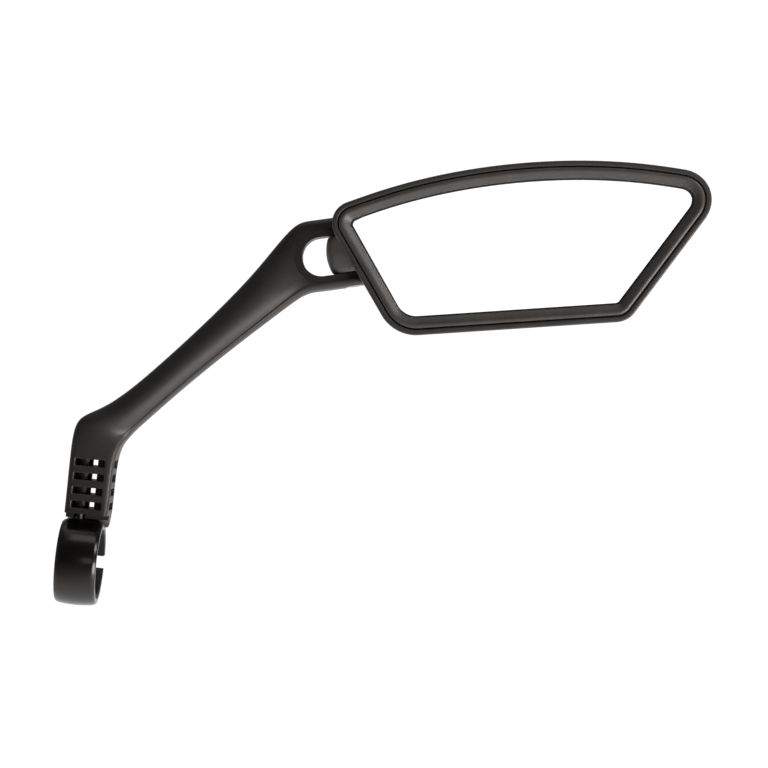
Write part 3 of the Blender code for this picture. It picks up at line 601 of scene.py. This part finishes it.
def make_bezel():
    bezel = head_plate("bezel_frame", HEAD_CORNERS, 2.3 * MM, 15.8 * MM, 20.85 * MM, BEZEL)
    front = mm((2.3, 20.85), (2.36, 21.1), (2.5, 21.32), (2.75, 21.49), (3.1, 21.58), (3.45, 21.6),
               (3.8, 21.54), (4.25, 21.36), (4.75, 21.1), (5.25, 20.82), (5.65, 20.56), (5.95, 20.3),
               (6.1, 20.08), (6.15, 19.8))
    back = mm((2.3, 15.8), (4.0, 15.8), (4.0, 19.8), (5.9, 19.8))
    open_frame(bezel, front, back)
    round_inner_corners(bezel, [step for step in front + back if step[0] > 5.2 * MM])
    smooth(bezel, 38)
    return bezel


def make_glass():
    glass = head_plate("silvered_glass", HEAD_CORNERS, 4.3 * MM, 15.8 * MM, 18.2 * MM, MIRROR)
    with shaping(glass):
        pick(front_face)
        work_inwards(mm((4.3, 18.2), (4.42, 18.45), (4.7, 18.6)), -1)
    smooth(glass, 20)
    return glass


def make_gasket():
    gasket = head_plate("glass_seal", HEAD_CORNERS, 4.3 * MM, 18.9 * MM, 19.5 * MM, RUBBER)
    front = mm((4.3, 19.5), (6.4, 19.5), (6.6, 19.42), (6.7, 19.2))
    back = mm((4.3, 18.9), (6.4, 18.9), (6.6, 18.98))
    open_frame(gasket, front, back)
    round_inner_corners(gasket, [step for step in front + back if step[0] > 6.0 * MM])
    smooth(gasket, 38)
    return gasket


# ---------------------------------------------------------------------------------------------
# Arm

# Sections as (across, forward) shares of the half width and half depth, from the upper left edge
# over the front to the lower right edge. The back mirrors the front.
NECK_FORM = [(-1.0, 0.0), (-1.0, 0.78), (-0.955, 0.955), (-0.78, 1.0), (-0.3, 1.0), (0.2, 1.0),
             (0.55, 1.0), (0.78, 1.0), (0.955, 0.955), (1.0, 0.78), (1.0, 0.0)]
ELBOW_FORM = [(-1.0, 0.0), (-1.0, 0.60), (-0.93, 0.86), (-0.68, 0.98), (-0.30, 1.0), (0.06, 0.90),
              (0.44, 0.73), (0.72, 0.59), (0.87, 0.50), (0.97, 0.32), (1.0, 0.0)]
SHANK_FORM = [(-1.0, 0.0), (-0.98, 0.42), (-0.85, 0.71), (-0.56, 0.90), (-0.16, 0.985), (0.24, 0.925),
              (0.62, 0.73), (0.71, 0.555), (0.775, 0.65), (0.94, 0.43), (1.0, 0.0)]
FORK_FORM = [(-1.0, 0.0), (-1.0, 0.56), (-0.95, 0.9), (-0.78, 1.0), (-0.3, 1.0), (0.2, 1.0),
             (0.55, 1.0), (0.78, 1.0), (0.91, 0.92), (0.985, 0.66), (1.0, 0.0)]

# Up the arm: centre (x, z), heading in degrees, half width, half depth, and the shares of the neck,
# shank, fork and elbow forms
ARM_STATIONS = [
    ((0.7, 10.5), 90.0, 7.2, 10.6, (1.0, 0.0, 0.0)),
    ((1.05, 14.0), 90.0, 7.55, 10.2, (1.0, 0.0, 0.0)),
    ((1.4, 18.5), 90.0, 7.9, 8.8, (1.0, 0.0, 0.0)),
    ((1.4, 28.0), 90.0, 7.9, 8.4, (1.0, 0.0, 0.0)),
    ((1.55, 37.6), 90.0, 8.0, 8.4, (1.0, 0.0, 0.0)),
    ((2.35, 43.95), 81.0, 8.8, 8.4, (0.75, 0.0, 0.0, 0.25)),
    ((3.85, 48.15), 73.0, 9.6, 8.2, (0.3, 0.2, 0.0, 0.5)),
    ((6.5, 50.2), 66.0, 8.4, 8.0, (0.1, 0.4, 0.0, 0.5)),
    ((10.0, 52.6), 53.0, 6.8, 7.8, (0.0, 0.8, 0.0, 0.2)),
    ((16.9, 59.1), 47.0, 6.15, 7.4, (0.0, 1.0, 0.0)),
    ((27.4, 70.2), 46.5, 6.05, 7.1, (0.0, 1.0, 0.0)),
    ((43.0, 86.5), 46.8, 6.75, 6.9, (0.0, 1.0, 0.0)),
    ((57.6, 102.0), 46.0, 8.35, 6.7, (0.0, 1.0, 0.0)),
    ((65.0, 111.2), 34.0, 10.2, 6.5, (0.0, 0.7, 0.3)),
    ((70.3, 116.1), 22.0, 12.9, 6.5, (0.0, 0.25, 0.75)),
    ((73.65, 116.9), 15.5, 12.85, 6.5, (0.0, 0.0, 1.0)),
]
FORK_MID_V = 1.35 * MM
FORK_HALF_HEIGHT = 12.8 * MM
FORK_END_R = 6.5 * MM
SLOT_MID_V = 0.75 * MM
SLOT_HALF = 6.95 * MM
SLOT_CENTRE_U = -10.5 * MM
SLOT_RIM_R = SLOT_HALF + 2.6 * MM
RIM_FLOOR = 5.7 * MM                # half depth of the fork inside the sunk rim of its slot
COLUMN = (-1.6 * MM, 0.0, 0.0)      # the post inside the neck that takes the insert
COLUMN_R = 3.05 * MM
SADDLE_R = 15.8 * MM                # hollow under the neck, with room for the ring
RELIEF_TOP = 17.6 * MM
POCKET_LEVELS = [(20.8 + 5.05 * level) * MM for level in range(4)]
POCKET_HEIGHT = 2.5 * MM
POCKET_X = (-4.2 * MM, 6.4 * MM)
POCKET_FLOOR = 1.0 * MM
SIDE_POCKET_X = 1.4 * MM
SIDE_POCKET_WIDTH = 11.8 * MM
SIDE_POCKET_FLOOR = 6.2 * MM
WINDOW_X = (1.45 * MM, 3.2 * MM)
SCREW_HOLE_R = 2.3 * MM
HINGE_SEAT_R = 4.3 * MM
NUT_SEAT_R = 7.6 / math.sqrt(3) * MM
UPPER_SEAT_WALL = 2.4 * MM
LOWER_SEAT_WALL = 1.9 * MM


def arm_section(centre, heading, half_width, half_depth, shares):
    forward = Vector((0.0, -half_depth, 0.0))
    across = Vector((math.sin(heading), 0.0, -math.cos(heading))) * half_width
    front = []
    for corners in zip(NECK_FORM, SHANK_FORM, FORK_FORM, ELBOW_FORM):
        a = sum(share * corner[0] for share, corner in zip(shares, corners))
        f = sum(share * corner[1] for share, corner in zip(shares, corners))
        front.append((a, f))
    whole = front + [(a, -f) for a, f in reversed(front[1:-1])]
    return [centre + across * a + forward * f for a, f in whole]


def arm_sections():
    sections = []
    for (x, z), heading, width, depth, shares in ARM_STATIONS:
        sections.append(arm_section(Vector((x * MM, 0.0, z * MM)), math.radians(heading), width * MM,
                                    depth * MM, shares))
    slope = math.atan2(U_AXIS.z, U_AXIS.x)
    ends = [(-7.6 * MM, FORK_END_R), (-3.0 * MM, FORK_END_R)]
    for angle in (0, 22, 44, 64, 80, 88):
        turn = math.radians(angle)
        ends.append((FORK_END_R * math.sin(turn), FORK_END_R * math.cos(turn)))
    for u, depth in ends:
        centre = HEAD @ Vector((u, 0.0, FORK_MID_V))
        sections.append(arm_section(centre, slope, FORK_HALF_HEIGHT, depth, (0.0, 0.0, 1.0)))
    return sections


def make_arm_body():
    """A section drawn out along the arm, settled at every station, then rounded by subdivision."""
    sections = arm_sections()
    start_clear()
    bpy.ops.mesh.primitive_circle_add(vertices=len(sections[0]), radius=0.01, fill_type="NGON")
    arm = take("mirror_arm", SATIN)
    with shaping(arm):
        set_corners(sections[0])
        bpy.ops.mesh.select_mode(type="FACE")
        bpy.ops.mesh.select_all(action="SELECT")
        for before, after in zip(sections, sections[1:]):
            move = after[0] - before[0]
            push(move)
            shape = bmesh.from_edit_mesh(arm.data)
            fresh = [corner for corner in shape.verts if corner.select]
            for was, place in zip(before, after):
                nearest = min(fresh, key=lambda corner: (corner.co - was - move).length)
                nearest.co = place
                fresh.remove(nearest)
            bmesh.update_edit_mesh(arm.data)
        merge()
    finish_with(arm, "SUBSURF", levels=3, render_levels=3)
    return arm


def open_neck(arm):
    """The saddle over the ring, the four rows of pockets and windows, and the post between them."""
    combine(arm, "DIFFERENCE", bar("saddle", "x", (0, 0, 0), -20 * MM, 20 * MM, SADDLE_R, 160))
    combine(arm, "DIFFERENCE",
            block("relief", (-16 * MM, -14 * MM, 4 * MM), (16 * MM, -1.5 * MM, RELIEF_TOP), 0.5 * MM))
    width = POCKET_X[1] - POCKET_X[0]
    middle_x = sum(POCKET_X) / 2
    for z in POCKET_LEVELS:
        for side in (-1, 1):
            combine(arm, "DIFFERENCE",
                    pocket("pocket", (width, POCKET_HEIGHT), POCKET_FLOOR, 8.36 * MM, 0.3 * MM, side,
                           "y", (middle_x, 0.0, z)),
                    pocket("side_pocket", (SIDE_POCKET_WIDTH, POCKET_HEIGHT), SIDE_POCKET_FLOOR,
                           7.86 * MM, 0.25 * MM, side, "x", (SIDE_POCKET_X, 0.0, z)))
        combine(arm, "DIFFERENCE", block("window", (WINDOW_X[0], -2 * MM, z - POCKET_HEIGHT / 2),
                                         (WINDOW_X[1], 2 * MM, z + POCKET_HEIGHT / 2)))
    combine(arm, "UNION", bar("column", "z", COLUMN, 18.4 * MM, 38.4 * MM, COLUMN_R, 64))
    combine(arm, "DIFFERENCE", bar("insert_hole", "z", COLUMN, 8 * MM, 27.4 * MM, 2.5 * MM),
            bar("tip_hole", "z", COLUMN, 26 * MM, 33 * MM, 1.75 * MM))


def open_fork(arm):
    """The slot between the prongs, the sunk rim round it on both faces, and the pin's hole and seats."""
    slot_low = SLOT_MID_V - SLOT_HALF
    slot_high = SLOT_MID_V + SLOT_HALF
    cutters = [stadium("slot", SLOT_CENTRE_U, SLOT_MID_V, SLOT_HALF, -6.15 * MM, 6.15 * MM, 0.35 * MM)]
    for side in (-1, 1):
        cutters.append(stadium("slot_rim", SLOT_CENTRE_U, SLOT_MID_V, SLOT_RIM_R,
                               *sorted((side * RIM_FLOOR, side * 12 * MM))))
    cutters += [
        bar("pin_hole", "z", (0, 0, 0), -18 * MM, 20 * MM, SCREW_HOLE_R),
        bar("screw_seat", "z", (0, 0, 0), -18 * MM, slot_low - LOWER_SEAT_WALL, HINGE_SEAT_R),
        bar("nut_seat", "z", (0, 0, 0), slot_high + UPPER_SEAT_WALL, 20 * MM, NUT_SEAT_R, 6),
    ]
    set_on_head(*cutters)
    combine(arm, "DIFFERENCE", *cutters)


def make_arm():
    arm = make_arm_body()
    open_neck(arm)
    open_fork(arm)
    # Painted shade: the faces on the floor of the sunk rim take the darker copy of the satin plastic.
    arm.data.materials.append(SHADE_PAINTED_SATIN)
    with shaping(arm):
        shape = bmesh.from_edit_mesh(arm.data)
        for face in shape.faces:
            on_floor = abs(abs(face.calc_center_median().y) - RIM_FLOOR) < 0.05 * MM
            if on_floor and abs(face.normal.y) > 0.9:
                face.material_index = 1
        bmesh.update_edit_mesh(arm.data)
    smooth(arm, 30)
    return arm


# ---------------------------------------------------------------------------------------------
# Clamp ring

SPLIT = (-2.7 * MM, 2.1 * MM)
LUG_HEIGHT = 6.1 * MM
LUG_ROUNDING = 1.4 * MM
CLAMP_BOLT = (-1.9 * MM, 19.2 * MM, 0.0)
CLAMP_SEAT_R = 4.2 * MM


def make_ring():
    """A crowned ring, split between two lugs at the rear."""
    crown = [(15.5 - 0.6 * (1.2 * step / 7.0) ** 2, 1.2 * step) for step in range(5, -6, -1)]
    end = [(12.4, 6.95), (12.75, 7.3), (14.2, 7.3), (14.42, 7.2), (14.6, 6.98), (14.88, 6.45),
           (14.98, 6.2)]
    profile = end + crown + [(radius, -x) for radius, x in reversed(end)]
    ring = turned("polished_ring", "x", (0, 0, 0), mm(*profile), 160, GLOSS)
    split_low, split_high = SPLIT
    overlap = 0.5 * MM
    near = (-7.1 * MM, 12.6 * MM)
    far = (3.3 * MM, 24.0 * MM)
    combine(ring, "UNION",
            block("lug_upper", (*near, split_high - overlap), (*far, split_high + LUG_HEIGHT),
                  LUG_ROUNDING),
            block("lug_lower", (*near, split_low - LUG_HEIGHT), (*far, split_low + overlap),
                  LUG_ROUNDING))
    combine(ring, "DIFFERENCE",
            block("split", (-9 * MM, 10 * MM, split_low), (9 * MM, 26 * MM, split_high)),
            bar("bolt_hole", "z", CLAMP_BOLT, -16 * MM, 12 * MM, SCREW_HOLE_R),
            bar("head_seat", "z", CLAMP_BOLT, -16 * MM, split_low - 2.6 * MM, CLAMP_SEAT_R),
            bar("nut_seat", "z", CLAMP_BOLT, split_high + 2.4 * MM, 12 * MM, NUT_SEAT_R, 6),
            bar("neck_bolt_hole", "z", COLUMN, 8 * MM, 18 * MM, 1.75 * MM))
    sink = turned("sink", "z", COLUMN, mm((0.0, 14.3), (1.75, 14.3), (5.05, 10.6), (0.0, 10.6)), 48)
    combine(ring, "DIFFERENCE", sink)
    smooth(ring, 30)
    return ring


# ---------------------------------------------------------------------------------------------
# Knuckle

STUB = (0.0, -2.5 * MM, SLOT_MID_V)    # a point on the stub's axis, which the head tilts round


def make_knuckle():
    """A barrel that turns between the prongs, with a stub through the back of the head."""
    low = (SLOT_MID_V - SLOT_HALF + 0.3 * MM) / MM
    high = (SLOT_MID_V + SLOT_HALF - 0.3 * MM) / MM
    side = []
    steps = 14
    for step in range(1, steps):
        t = 1 - 2 * step / steps
        side.append((7.4 + 1.4 * (1 - t * t), 0.75 + 6.65 * t))
    profile = [(2.3, high - 1.3), (5.6, high - 1.3), (5.6, high - 0.25), (5.85, high), (6.95, high),
               (7.3, high - 0.2)] + side
    profile += [(7.3, low + 0.2), (6.95, low), (5.85, low), (5.6, low + 0.25), (5.6, low + 1.3),
                (2.3, low + 1.3)]
    knuckle = turned("barrel_knuckle", "z", (0, 0, 0), mm(*profile), 96, KNUCKLE_SATIN)
    stub = turned("stub", "x", STUB, mm((0.0, 19.4), (3.1, 19.4), (3.5, 19.0), (3.5, 9.9), (5.9, 9.9),
                                        (6.2, 9.6), (6.2, 5.9), (0.0, 5.9)), 64)
    combine(knuckle, "UNION", stub)
    combine(knuckle, "DIFFERENCE", bar("stub_bore", "x", STUB, 11.5 * MM, 20.4 * MM, 1.75 * MM))
    smooth(knuckle, 30)
    return knuckle


# ---------------------------------------------------------------------------------------------
# Fasteners, each along the upright axis

CLEAR_R = 2.15 * MM                 # bore of a washer


def make_nut(name, centre, low, high, finish):
    """A hexagon nut, chamfered and countersunk at both ends."""
    nut = bar(name, "z", centre, low, high, 7.0 / math.sqrt(3) * MM, 6, finish)
    soft = 0.42 * MM
    rounding = turned("nut_rounding", "z", centre, [
        (0.0, high + soft), (2.55 * MM, high + soft), (4.06 * MM, high - soft), (4.06 * MM, low + soft),
        (2.55 * MM, low - soft), (0.0, low - soft)], 50)
    combine(nut, "INTERSECT", rounding)
    bore = turned("nut_bore", "z", centre, [
        (0.0, high + MM), (3.4 * MM, high + MM), (2.05 * MM, high - 0.35 * MM),
        (2.05 * MM, low + 0.35 * MM), (3.4 * MM, low - MM), (0.0, low - MM)], 64)
    combine(nut, "DIFFERENCE", bore)
    smooth(nut, 30)
    return nut


def make_cap_screw(name, centre, head_end, seat, tip, head_r, socket_across, finish):
    """A socket screw with its head below, and a cut thread up to its tip."""
    shank_r = 1.95 * MM
    root_r = shank_r - 0.3 * MM
    profile = [(0.0, head_end), (head_r - 0.35 * MM, head_end), (head_r - 0.1 * MM, head_end + 0.1 * MM),
               (head_r, head_end + 0.35 * MM), (head_r, seat - 0.12 * MM), (head_r - 0.12 * MM, seat),
               (shank_r, seat)]
    pitch = 0.7 * MM
    start = seat + 1.2 * MM
    for turn in range(int((tip - 0.5 * MM - start) / pitch)):
        low = start + turn * pitch
        profile += [(shank_r, low), (root_r, low + 0.35 * pitch), (root_r, low + 0.5 * pitch),
                    (shank_r, low + 0.85 * pitch)]
    profile += [(shank_r, tip - 0.45 * MM), (shank_r - 0.45 * MM, tip), (0.0, tip)]
    screw = turned(name, "z", centre, profile[::-1], 48, finish)
    depth = (seat - head_end) * 0.65
    combine(screw, "DIFFERENCE", bar("socket", "z", centre, head_end - MM, head_end + depth,
                                     socket_across / math.sqrt(3), 6))
    smooth(screw, 30)
    return screw


def make_washer(name, centre, low, high, outer_r, finish, split=False):
    """A flat washer with its edges broken, or a spring washer cut through on one side."""
    soft = 0.12 * MM
    washer = turned(name, "z", centre, [
        (outer_r - soft, high), (outer_r, high - soft), (outer_r, low + soft), (outer_r - soft, low),
        (CLEAR_R + soft, low), (CLEAR_R, low + soft), (CLEAR_R, high - soft), (CLEAR_R + soft, high)],
        64, finish)
    if split:
        x, y, z = centre
        combine(washer, "DIFFERENCE", block("washer_gap", (x - 0.3 * MM, y, low - MM),
                                            (x + 0.3 * MM, y + 2 * outer_r, high + MM)))
    smooth(washer, 30)
    return washer


def make_clamp_fasteners():
    low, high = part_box("clamp_bolt")
    washer_low, washer_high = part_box("clamp_washer")
    nut_low, nut_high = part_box("clamp_nut")
    screw = make_cap_screw("clamp_cap_screw", CLAMP_BOLT, low[2], low[2] + 4.0 * MM, high[2], 3.5 * MM,
                           3.0 * MM, STEEL)
    washer = make_washer("clamp_flat_washer", CLAMP_BOLT, washer_low[2], washer_high[2], 3.9 * MM, STEEL)
    nut = make_nut("clamp_hex_nut", CLAMP_BOLT, nut_low[2], nut_high[2], STEEL)
    fit(screw, "arm_and_clamp", "steel", "clamp_bolt")
    fit(washer, "arm_and_clamp", "steel", "clamp_washer")
    fit(nut, "arm_and_clamp", "steel", "clamp_nut")


def make_hinge_fasteners():
    pin = (0.0, 0.0, 0.0)
    screw = make_cap_screw("hinge_cap_screw", pin, -11.3 * MM, -9.3 * MM, 14.0 * MM, 3.7 * MM, 2.5 * MM,
                           STEEL)
    washer = make_washer("hinge_flat_washer", pin, -9.0 * MM, -8.4 * MM, 4.0 * MM, STEEL)
    spring = make_washer("hinge_split_washer", pin, 10.4 * MM, 11.1 * MM, 3.4 * MM, SPRING_STEEL, True)
    nut = make_nut("hinge_hex_nut", pin, 11.4 * MM, 13.8 * MM, STEEL)
    set_on_head(screw, washer, spring, nut)
    fit(screw, "arm_and_clamp", "steel", "hinge_screw")
    fit(washer, "arm_and_clamp", "steel", "hinge_head_washer")
    fit(spring, "arm_and_clamp", "spring_steel", "hinge_spring_washer")
    fit(nut, "arm_and_clamp", "steel", "hinge_nut")


# ---------------------------------------------------------------------------------------------
# Back housing

SHELF = 12.0 * MM                   # distance forward of the flat band round the dome
DOME_RUN = (22 * MM, 128 * MM)      # the stretch of u over which the crest comes down
DOME_HEIGHT = (21.2 * MM, 4.2 * MM)


def dome_depth(u):
    """How far the crest stands behind the shelf: deep by the knuckle, shallow at the far end."""
    t = min(max((u - DOME_RUN[0]) / (DOME_RUN[1] - DOME_RUN[0]), 0.0), 1.0)
    return DOME_HEIGHT[0] + (DOME_HEIGHT[1] - DOME_HEIGHT[0]) * t * t * (3 - 2 * t)


def raise_dome(housing):
    """Draws the face in hand out backwards, smaller each time, and settles it on the dome's slope."""
    middle = Vector((64 * MM, 0.0, -2 * MM))
    rise = [(1.0, 0.0), (0.988, 0.012), (0.979, 0.05), (0.971, 0.12), (0.962, 0.24), (0.948, 0.40),
            (0.928, 0.56), (0.90, 0.70), (0.86, 0.82), (0.81, 0.905), (0.75, 0.96), (0.67, 0.99),
            (0.56, 1.0)]
    for (share, height), (next_share, next_height) in zip(rise, rise[1:]):
        push((0.0, 0.0, 0.0))
        grow = next_share / share
        bpy.ops.transform.resize(value=(grow, 1.0, grow), center_override=middle)
        shape = bmesh.from_edit_mesh(housing.data)
        for corner in shape.verts:
            if corner.select:
                corner.co.y = -SHELF + next_height * dome_depth(corner.co.x)
        bmesh.update_edit_mesh(housing.data)


def make_housing():
    """One skin from the rim over the back, drawn out into a dome, then given its wall."""
    housing = head_plate("head_shell", HEAD_CORNERS, 0.0, 14.6 * MM, 20.9 * MM, HOUSING_SATIN)
    dome = head_outline("dome", DOME_CORNERS, 0.0, SHELF, HOUSING_SATIN)
    with shaping(housing):
        pick(front_face)
        bpy.ops.mesh.delete(type="ONLY_FACE")
        pick(back_face)
        work_inwards(mm((0.0, 14.6), (0.09, 13.93), (0.35, 13.3), (0.76, 12.76), (1.3, 12.35),
                        (1.93, 12.09), (2.6, 12.0)), 1)
        bpy.ops.mesh.delete(type="ONLY_FACE")
    hold(housing)
    dome.select_set(True)
    bpy.ops.object.join()
    with shaping(housing):
        pick(lambda edge: len(edge.link_faces) == 1 and edge.verts[0].co.y > -12.1 * MM
             and edge.verts[1].co.y > -12.1 * MM, "EDGE")
        bpy.ops.mesh.bridge_edge_loops()
        pick(lambda face: len(face.verts) > 8)
        raise_dome(housing)
        merge()
    finish_with(housing, "SOLIDIFY", thickness=2.0 * MM, offset=-1.0)
    with shaping(housing):
        pick(lambda edge: edge.verts[0].co.y < -20.8 * MM and edge.verts[1].co.y < -20.8 * MM
             and edge.calc_face_angle(0.0) > 1.0, "EDGE")
        bpy.ops.mesh.bevel(offset=0.5 * MM, segments=4)
        bpy.ops.mesh.select_all(action="SELECT")
        bpy.ops.mesh.normals_make_consistent(inside=False)
    boss = turned("boss", "x", STUB, mm((0.0, 18.3), (7.0, 18.3), (7.0, 12.0), (6.5, 11.5),
                                        (0.0, 11.5)), 64)
    combine(housing, "UNION", boss)
    combine(housing, "DIFFERENCE", bar("boss_bore", "x", STUB, 10.5 * MM, 19.3 * MM, 5.3 * MM, 64))
    smooth(housing, 30)
    return housing


# ---------------------------------------------------------------------------------------------
# Every new piece in its place

def fit(piece, body, slot, *nodes):
    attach(piece, body)
    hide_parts(*nodes)


bezel = make_bezel()
glass = make_glass()
gasket = make_gasket()
housing = make_housing()
knuckle = make_knuckle()
set_on_head(bezel, glass, gasket, housing, knuckle)
fit(bezel, "head", "satin_plastic", "bezel")
fit(glass, "head", "mirror", "mirror_glass")
fit(gasket, "head", "rubber", "glass_gasket")
fit(housing, "head", "satin_plastic", "back_housing")
fit(knuckle, "knuckle_joint", "satin_plastic", "knuckle")
fit(make_arm(), "arm_and_clamp", "satin_plastic", "arm")
fit(make_ring(), "arm_and_clamp", "gloss_plastic", "clamp_ring")
make_clamp_fasteners()
make_hinge_fasteners()


# ---------------------------------------------------------------------------------------------
# Finishes of the pieces that stay as the frame has them

def repaint(name, finish):
    node = frame["nodes"][name]
    node.data.materials.clear()
    node.data.materials.append(finish)


repaint("clamp_liner", RUBBER)
repaint("backing_pad", FOAM)
for name in ("hinge_washer_upper", "hinge_washer_lower", "tilt_bush"):
    repaint(name, NYLON)
for name in ("tilt_retainer_washer", "tilt_screw"):
    repaint(name, STEEL)
repaint("tilt_spring_washer", SPRING_STEEL)
repaint("neck_insert", BRASS)
repaint("neck_bolt", BLACK_STEEL)


# ---------------------------------------------------------------------------------------------
# Studio

WHITE = colour(1.0, 1.0, 1.0)
FLOOR_GLOW = 0.9
FLOOR_Z = -0.30
CAMERA_PLACE = (0.1023, -0.9, 0.0738)
CAMERA_ROLL = math.radians(5.5)


def area_light(name, place, target, size, power):
    data = bpy.data.lights.new(name, "AREA")
    data.shape = "RECTANGLE"
    data.size = size[0]
    data.size_y = size[1]
    data.energy = power
    light = bpy.data.objects.new(name, data)
    bpy.context.scene.collection.objects.link(light)
    light.location = place
    light.rotation_euler = (Vector(target) - Vector(place)).to_track_quat("-Z", "Y").to_euler()


def fade(tree, value, start, end, kind="LINEAR"):
    """Turns a value to another one, between two (from, to) pairs."""
    ramp = tree.nodes.new("ShaderNodeMapRange")
    ramp.interpolation_type = kind
    ramp.inputs["From Min"].default_value, ramp.inputs["To Min"].default_value = start
    ramp.inputs["From Max"].default_value, ramp.inputs["To Max"].default_value = end
    tree.links.new(value, ramp.inputs["Value"])
    return ramp.outputs[0]


def product(tree, first, second):
    times = tree.nodes.new("ShaderNodeMath")
    times.operation = "MULTIPLY"
    tree.links.new(first, times.inputs[0])
    tree.links.new(second, times.inputs[1])
    return times.outputs[0]


def make_world():
    """White behind the object, dim in front and above and to the right, brighter low down."""
    world = bpy.data.worlds.new("studio")
    world.use_nodes = True
    bpy.context.scene.world = world
    tree = world.node_tree
    tree.nodes.clear()

    place = tree.nodes.new("ShaderNodeTexCoord")
    split = tree.nodes.new("ShaderNodeSeparateXYZ")
    tree.links.new(place.outputs["Generated"], split.inputs[0])
    height = fade(tree, split.outputs["Z"], (-0.6, 1.0), (0.5, 0.22))
    front = fade(tree, split.outputs["Y"], (-1.0, 0.12), (-0.3, 1.0))
    side = fade(tree, split.outputs["X"], (0.1, 1.0), (0.8, 0.45))
    soft = tree.nodes.new("ShaderNodeBackground")
    tree.links.new(product(tree, product(tree, height, front), side), soft.inputs["Strength"])
    plain = tree.nodes.new("ShaderNodeBackground")
    plain.inputs["Color"].default_value = WHITE
    plain.inputs["Strength"].default_value = 1.05
    seen = tree.nodes.new("ShaderNodeLightPath")
    choose = tree.nodes.new("ShaderNodeMixShader")
    tree.links.new(seen.outputs["Is Camera Ray"], choose.inputs[0])
    tree.links.new(soft.outputs[0], choose.inputs[1])
    tree.links.new(plain.outputs[0], choose.inputs[2])
    out = tree.nodes.new("ShaderNodeOutputWorld")
    tree.links.new(choose.outputs[0], out.inputs["Surface"])


def make_floor():
    """White to the eye, but as a source of light it fades out in front of the object."""
    start_clear()
    bpy.ops.mesh.primitive_circle_add(vertices=96, radius=6.0, fill_type="NGON",
                                      location=(0.1, 0.0, FLOOR_Z))
    finish = Finish("studio_floor", Roughness=0.9, Specular_IOR_Level=0.1)
    cloud = finish.noise(0.8, 2.0)
    finish.feed("Base Color", finish.mix(cloud, colour(0.88, 0.88, 0.88), colour(0.92, 0.92, 0.92)))
    tree = finish.material.node_tree
    split = tree.nodes.new("ShaderNodeSeparateXYZ")
    tree.links.new(finish.place.socket, split.inputs[0])
    glow = fade(tree, split.outputs["Y"], (-0.50, 0.05), (0.0, FLOOR_GLOW), "SMOOTHSTEP")
    seen = tree.nodes.new("ShaderNodeLightPath")
    choose = tree.nodes.new("ShaderNodeMix")
    tree.links.new(seen.outputs["Is Camera Ray"], choose.inputs[0])
    tree.links.new(glow, choose.inputs[2])
    choose.inputs[3].default_value = FLOOR_GLOW
    tree.links.new(choose.outputs[0], finish.shader.inputs["Emission Strength"])
    finish.shader.inputs["Emission Color"].default_value = WHITE
    take("studio_floor", finish.material)


def make_camera():
    data = bpy.data.cameras.new("view")
    camera = bpy.data.objects.new("view", data)
    bpy.context.scene.collection.objects.link(camera)
    right = Vector((math.cos(CAMERA_ROLL), 0.0, math.sin(CAMERA_ROLL)))
    up = Vector((-math.sin(CAMERA_ROLL), 0.0, math.cos(CAMERA_ROLL)))
    back = Vector((0.0, -1.0, 0.0))
    turn = Matrix((right, up, back)).transposed().to_4x4()
    camera.matrix_world = Matrix.Translation(CAMERA_PLACE) @ turn
    data.sensor_width = 36.0
    data.lens = 117.8
    data.clip_start = 0.01
    data.clip_end = 60.0
    bpy.context.scene.camera = camera


make_world()
make_floor()
make_camera()
area_light("glass_card", (0.20, -1.02, 0.165), (0.15, 0.0, 0.12), (0.38, 0.24), 0.33)
area_light("low_right_softbox", (0.62, -0.42, -0.12), (0.05, 0.0, 0.07), (0.45, 0.30), 6.0)
area_light("right_upper_softbox", (0.66, -0.40, 0.56), (0.10, 0.0, 0.12), (0.35, 0.30), 2.6)
area_light("top_front_softbox", (0.08, -0.30, 0.85), (0.08, 0.0, 0.10), (0.60, 0.30), 0.8)
area_light("top_soft", (0.0, 0.25, 0.9), (0.1, 0.0, 0.1), (0.9, 0.6), 0.8)

bpy.context.scene.view_settings.view_transform = "Standard"
bpy.context.scene.view_settings.look = "None"
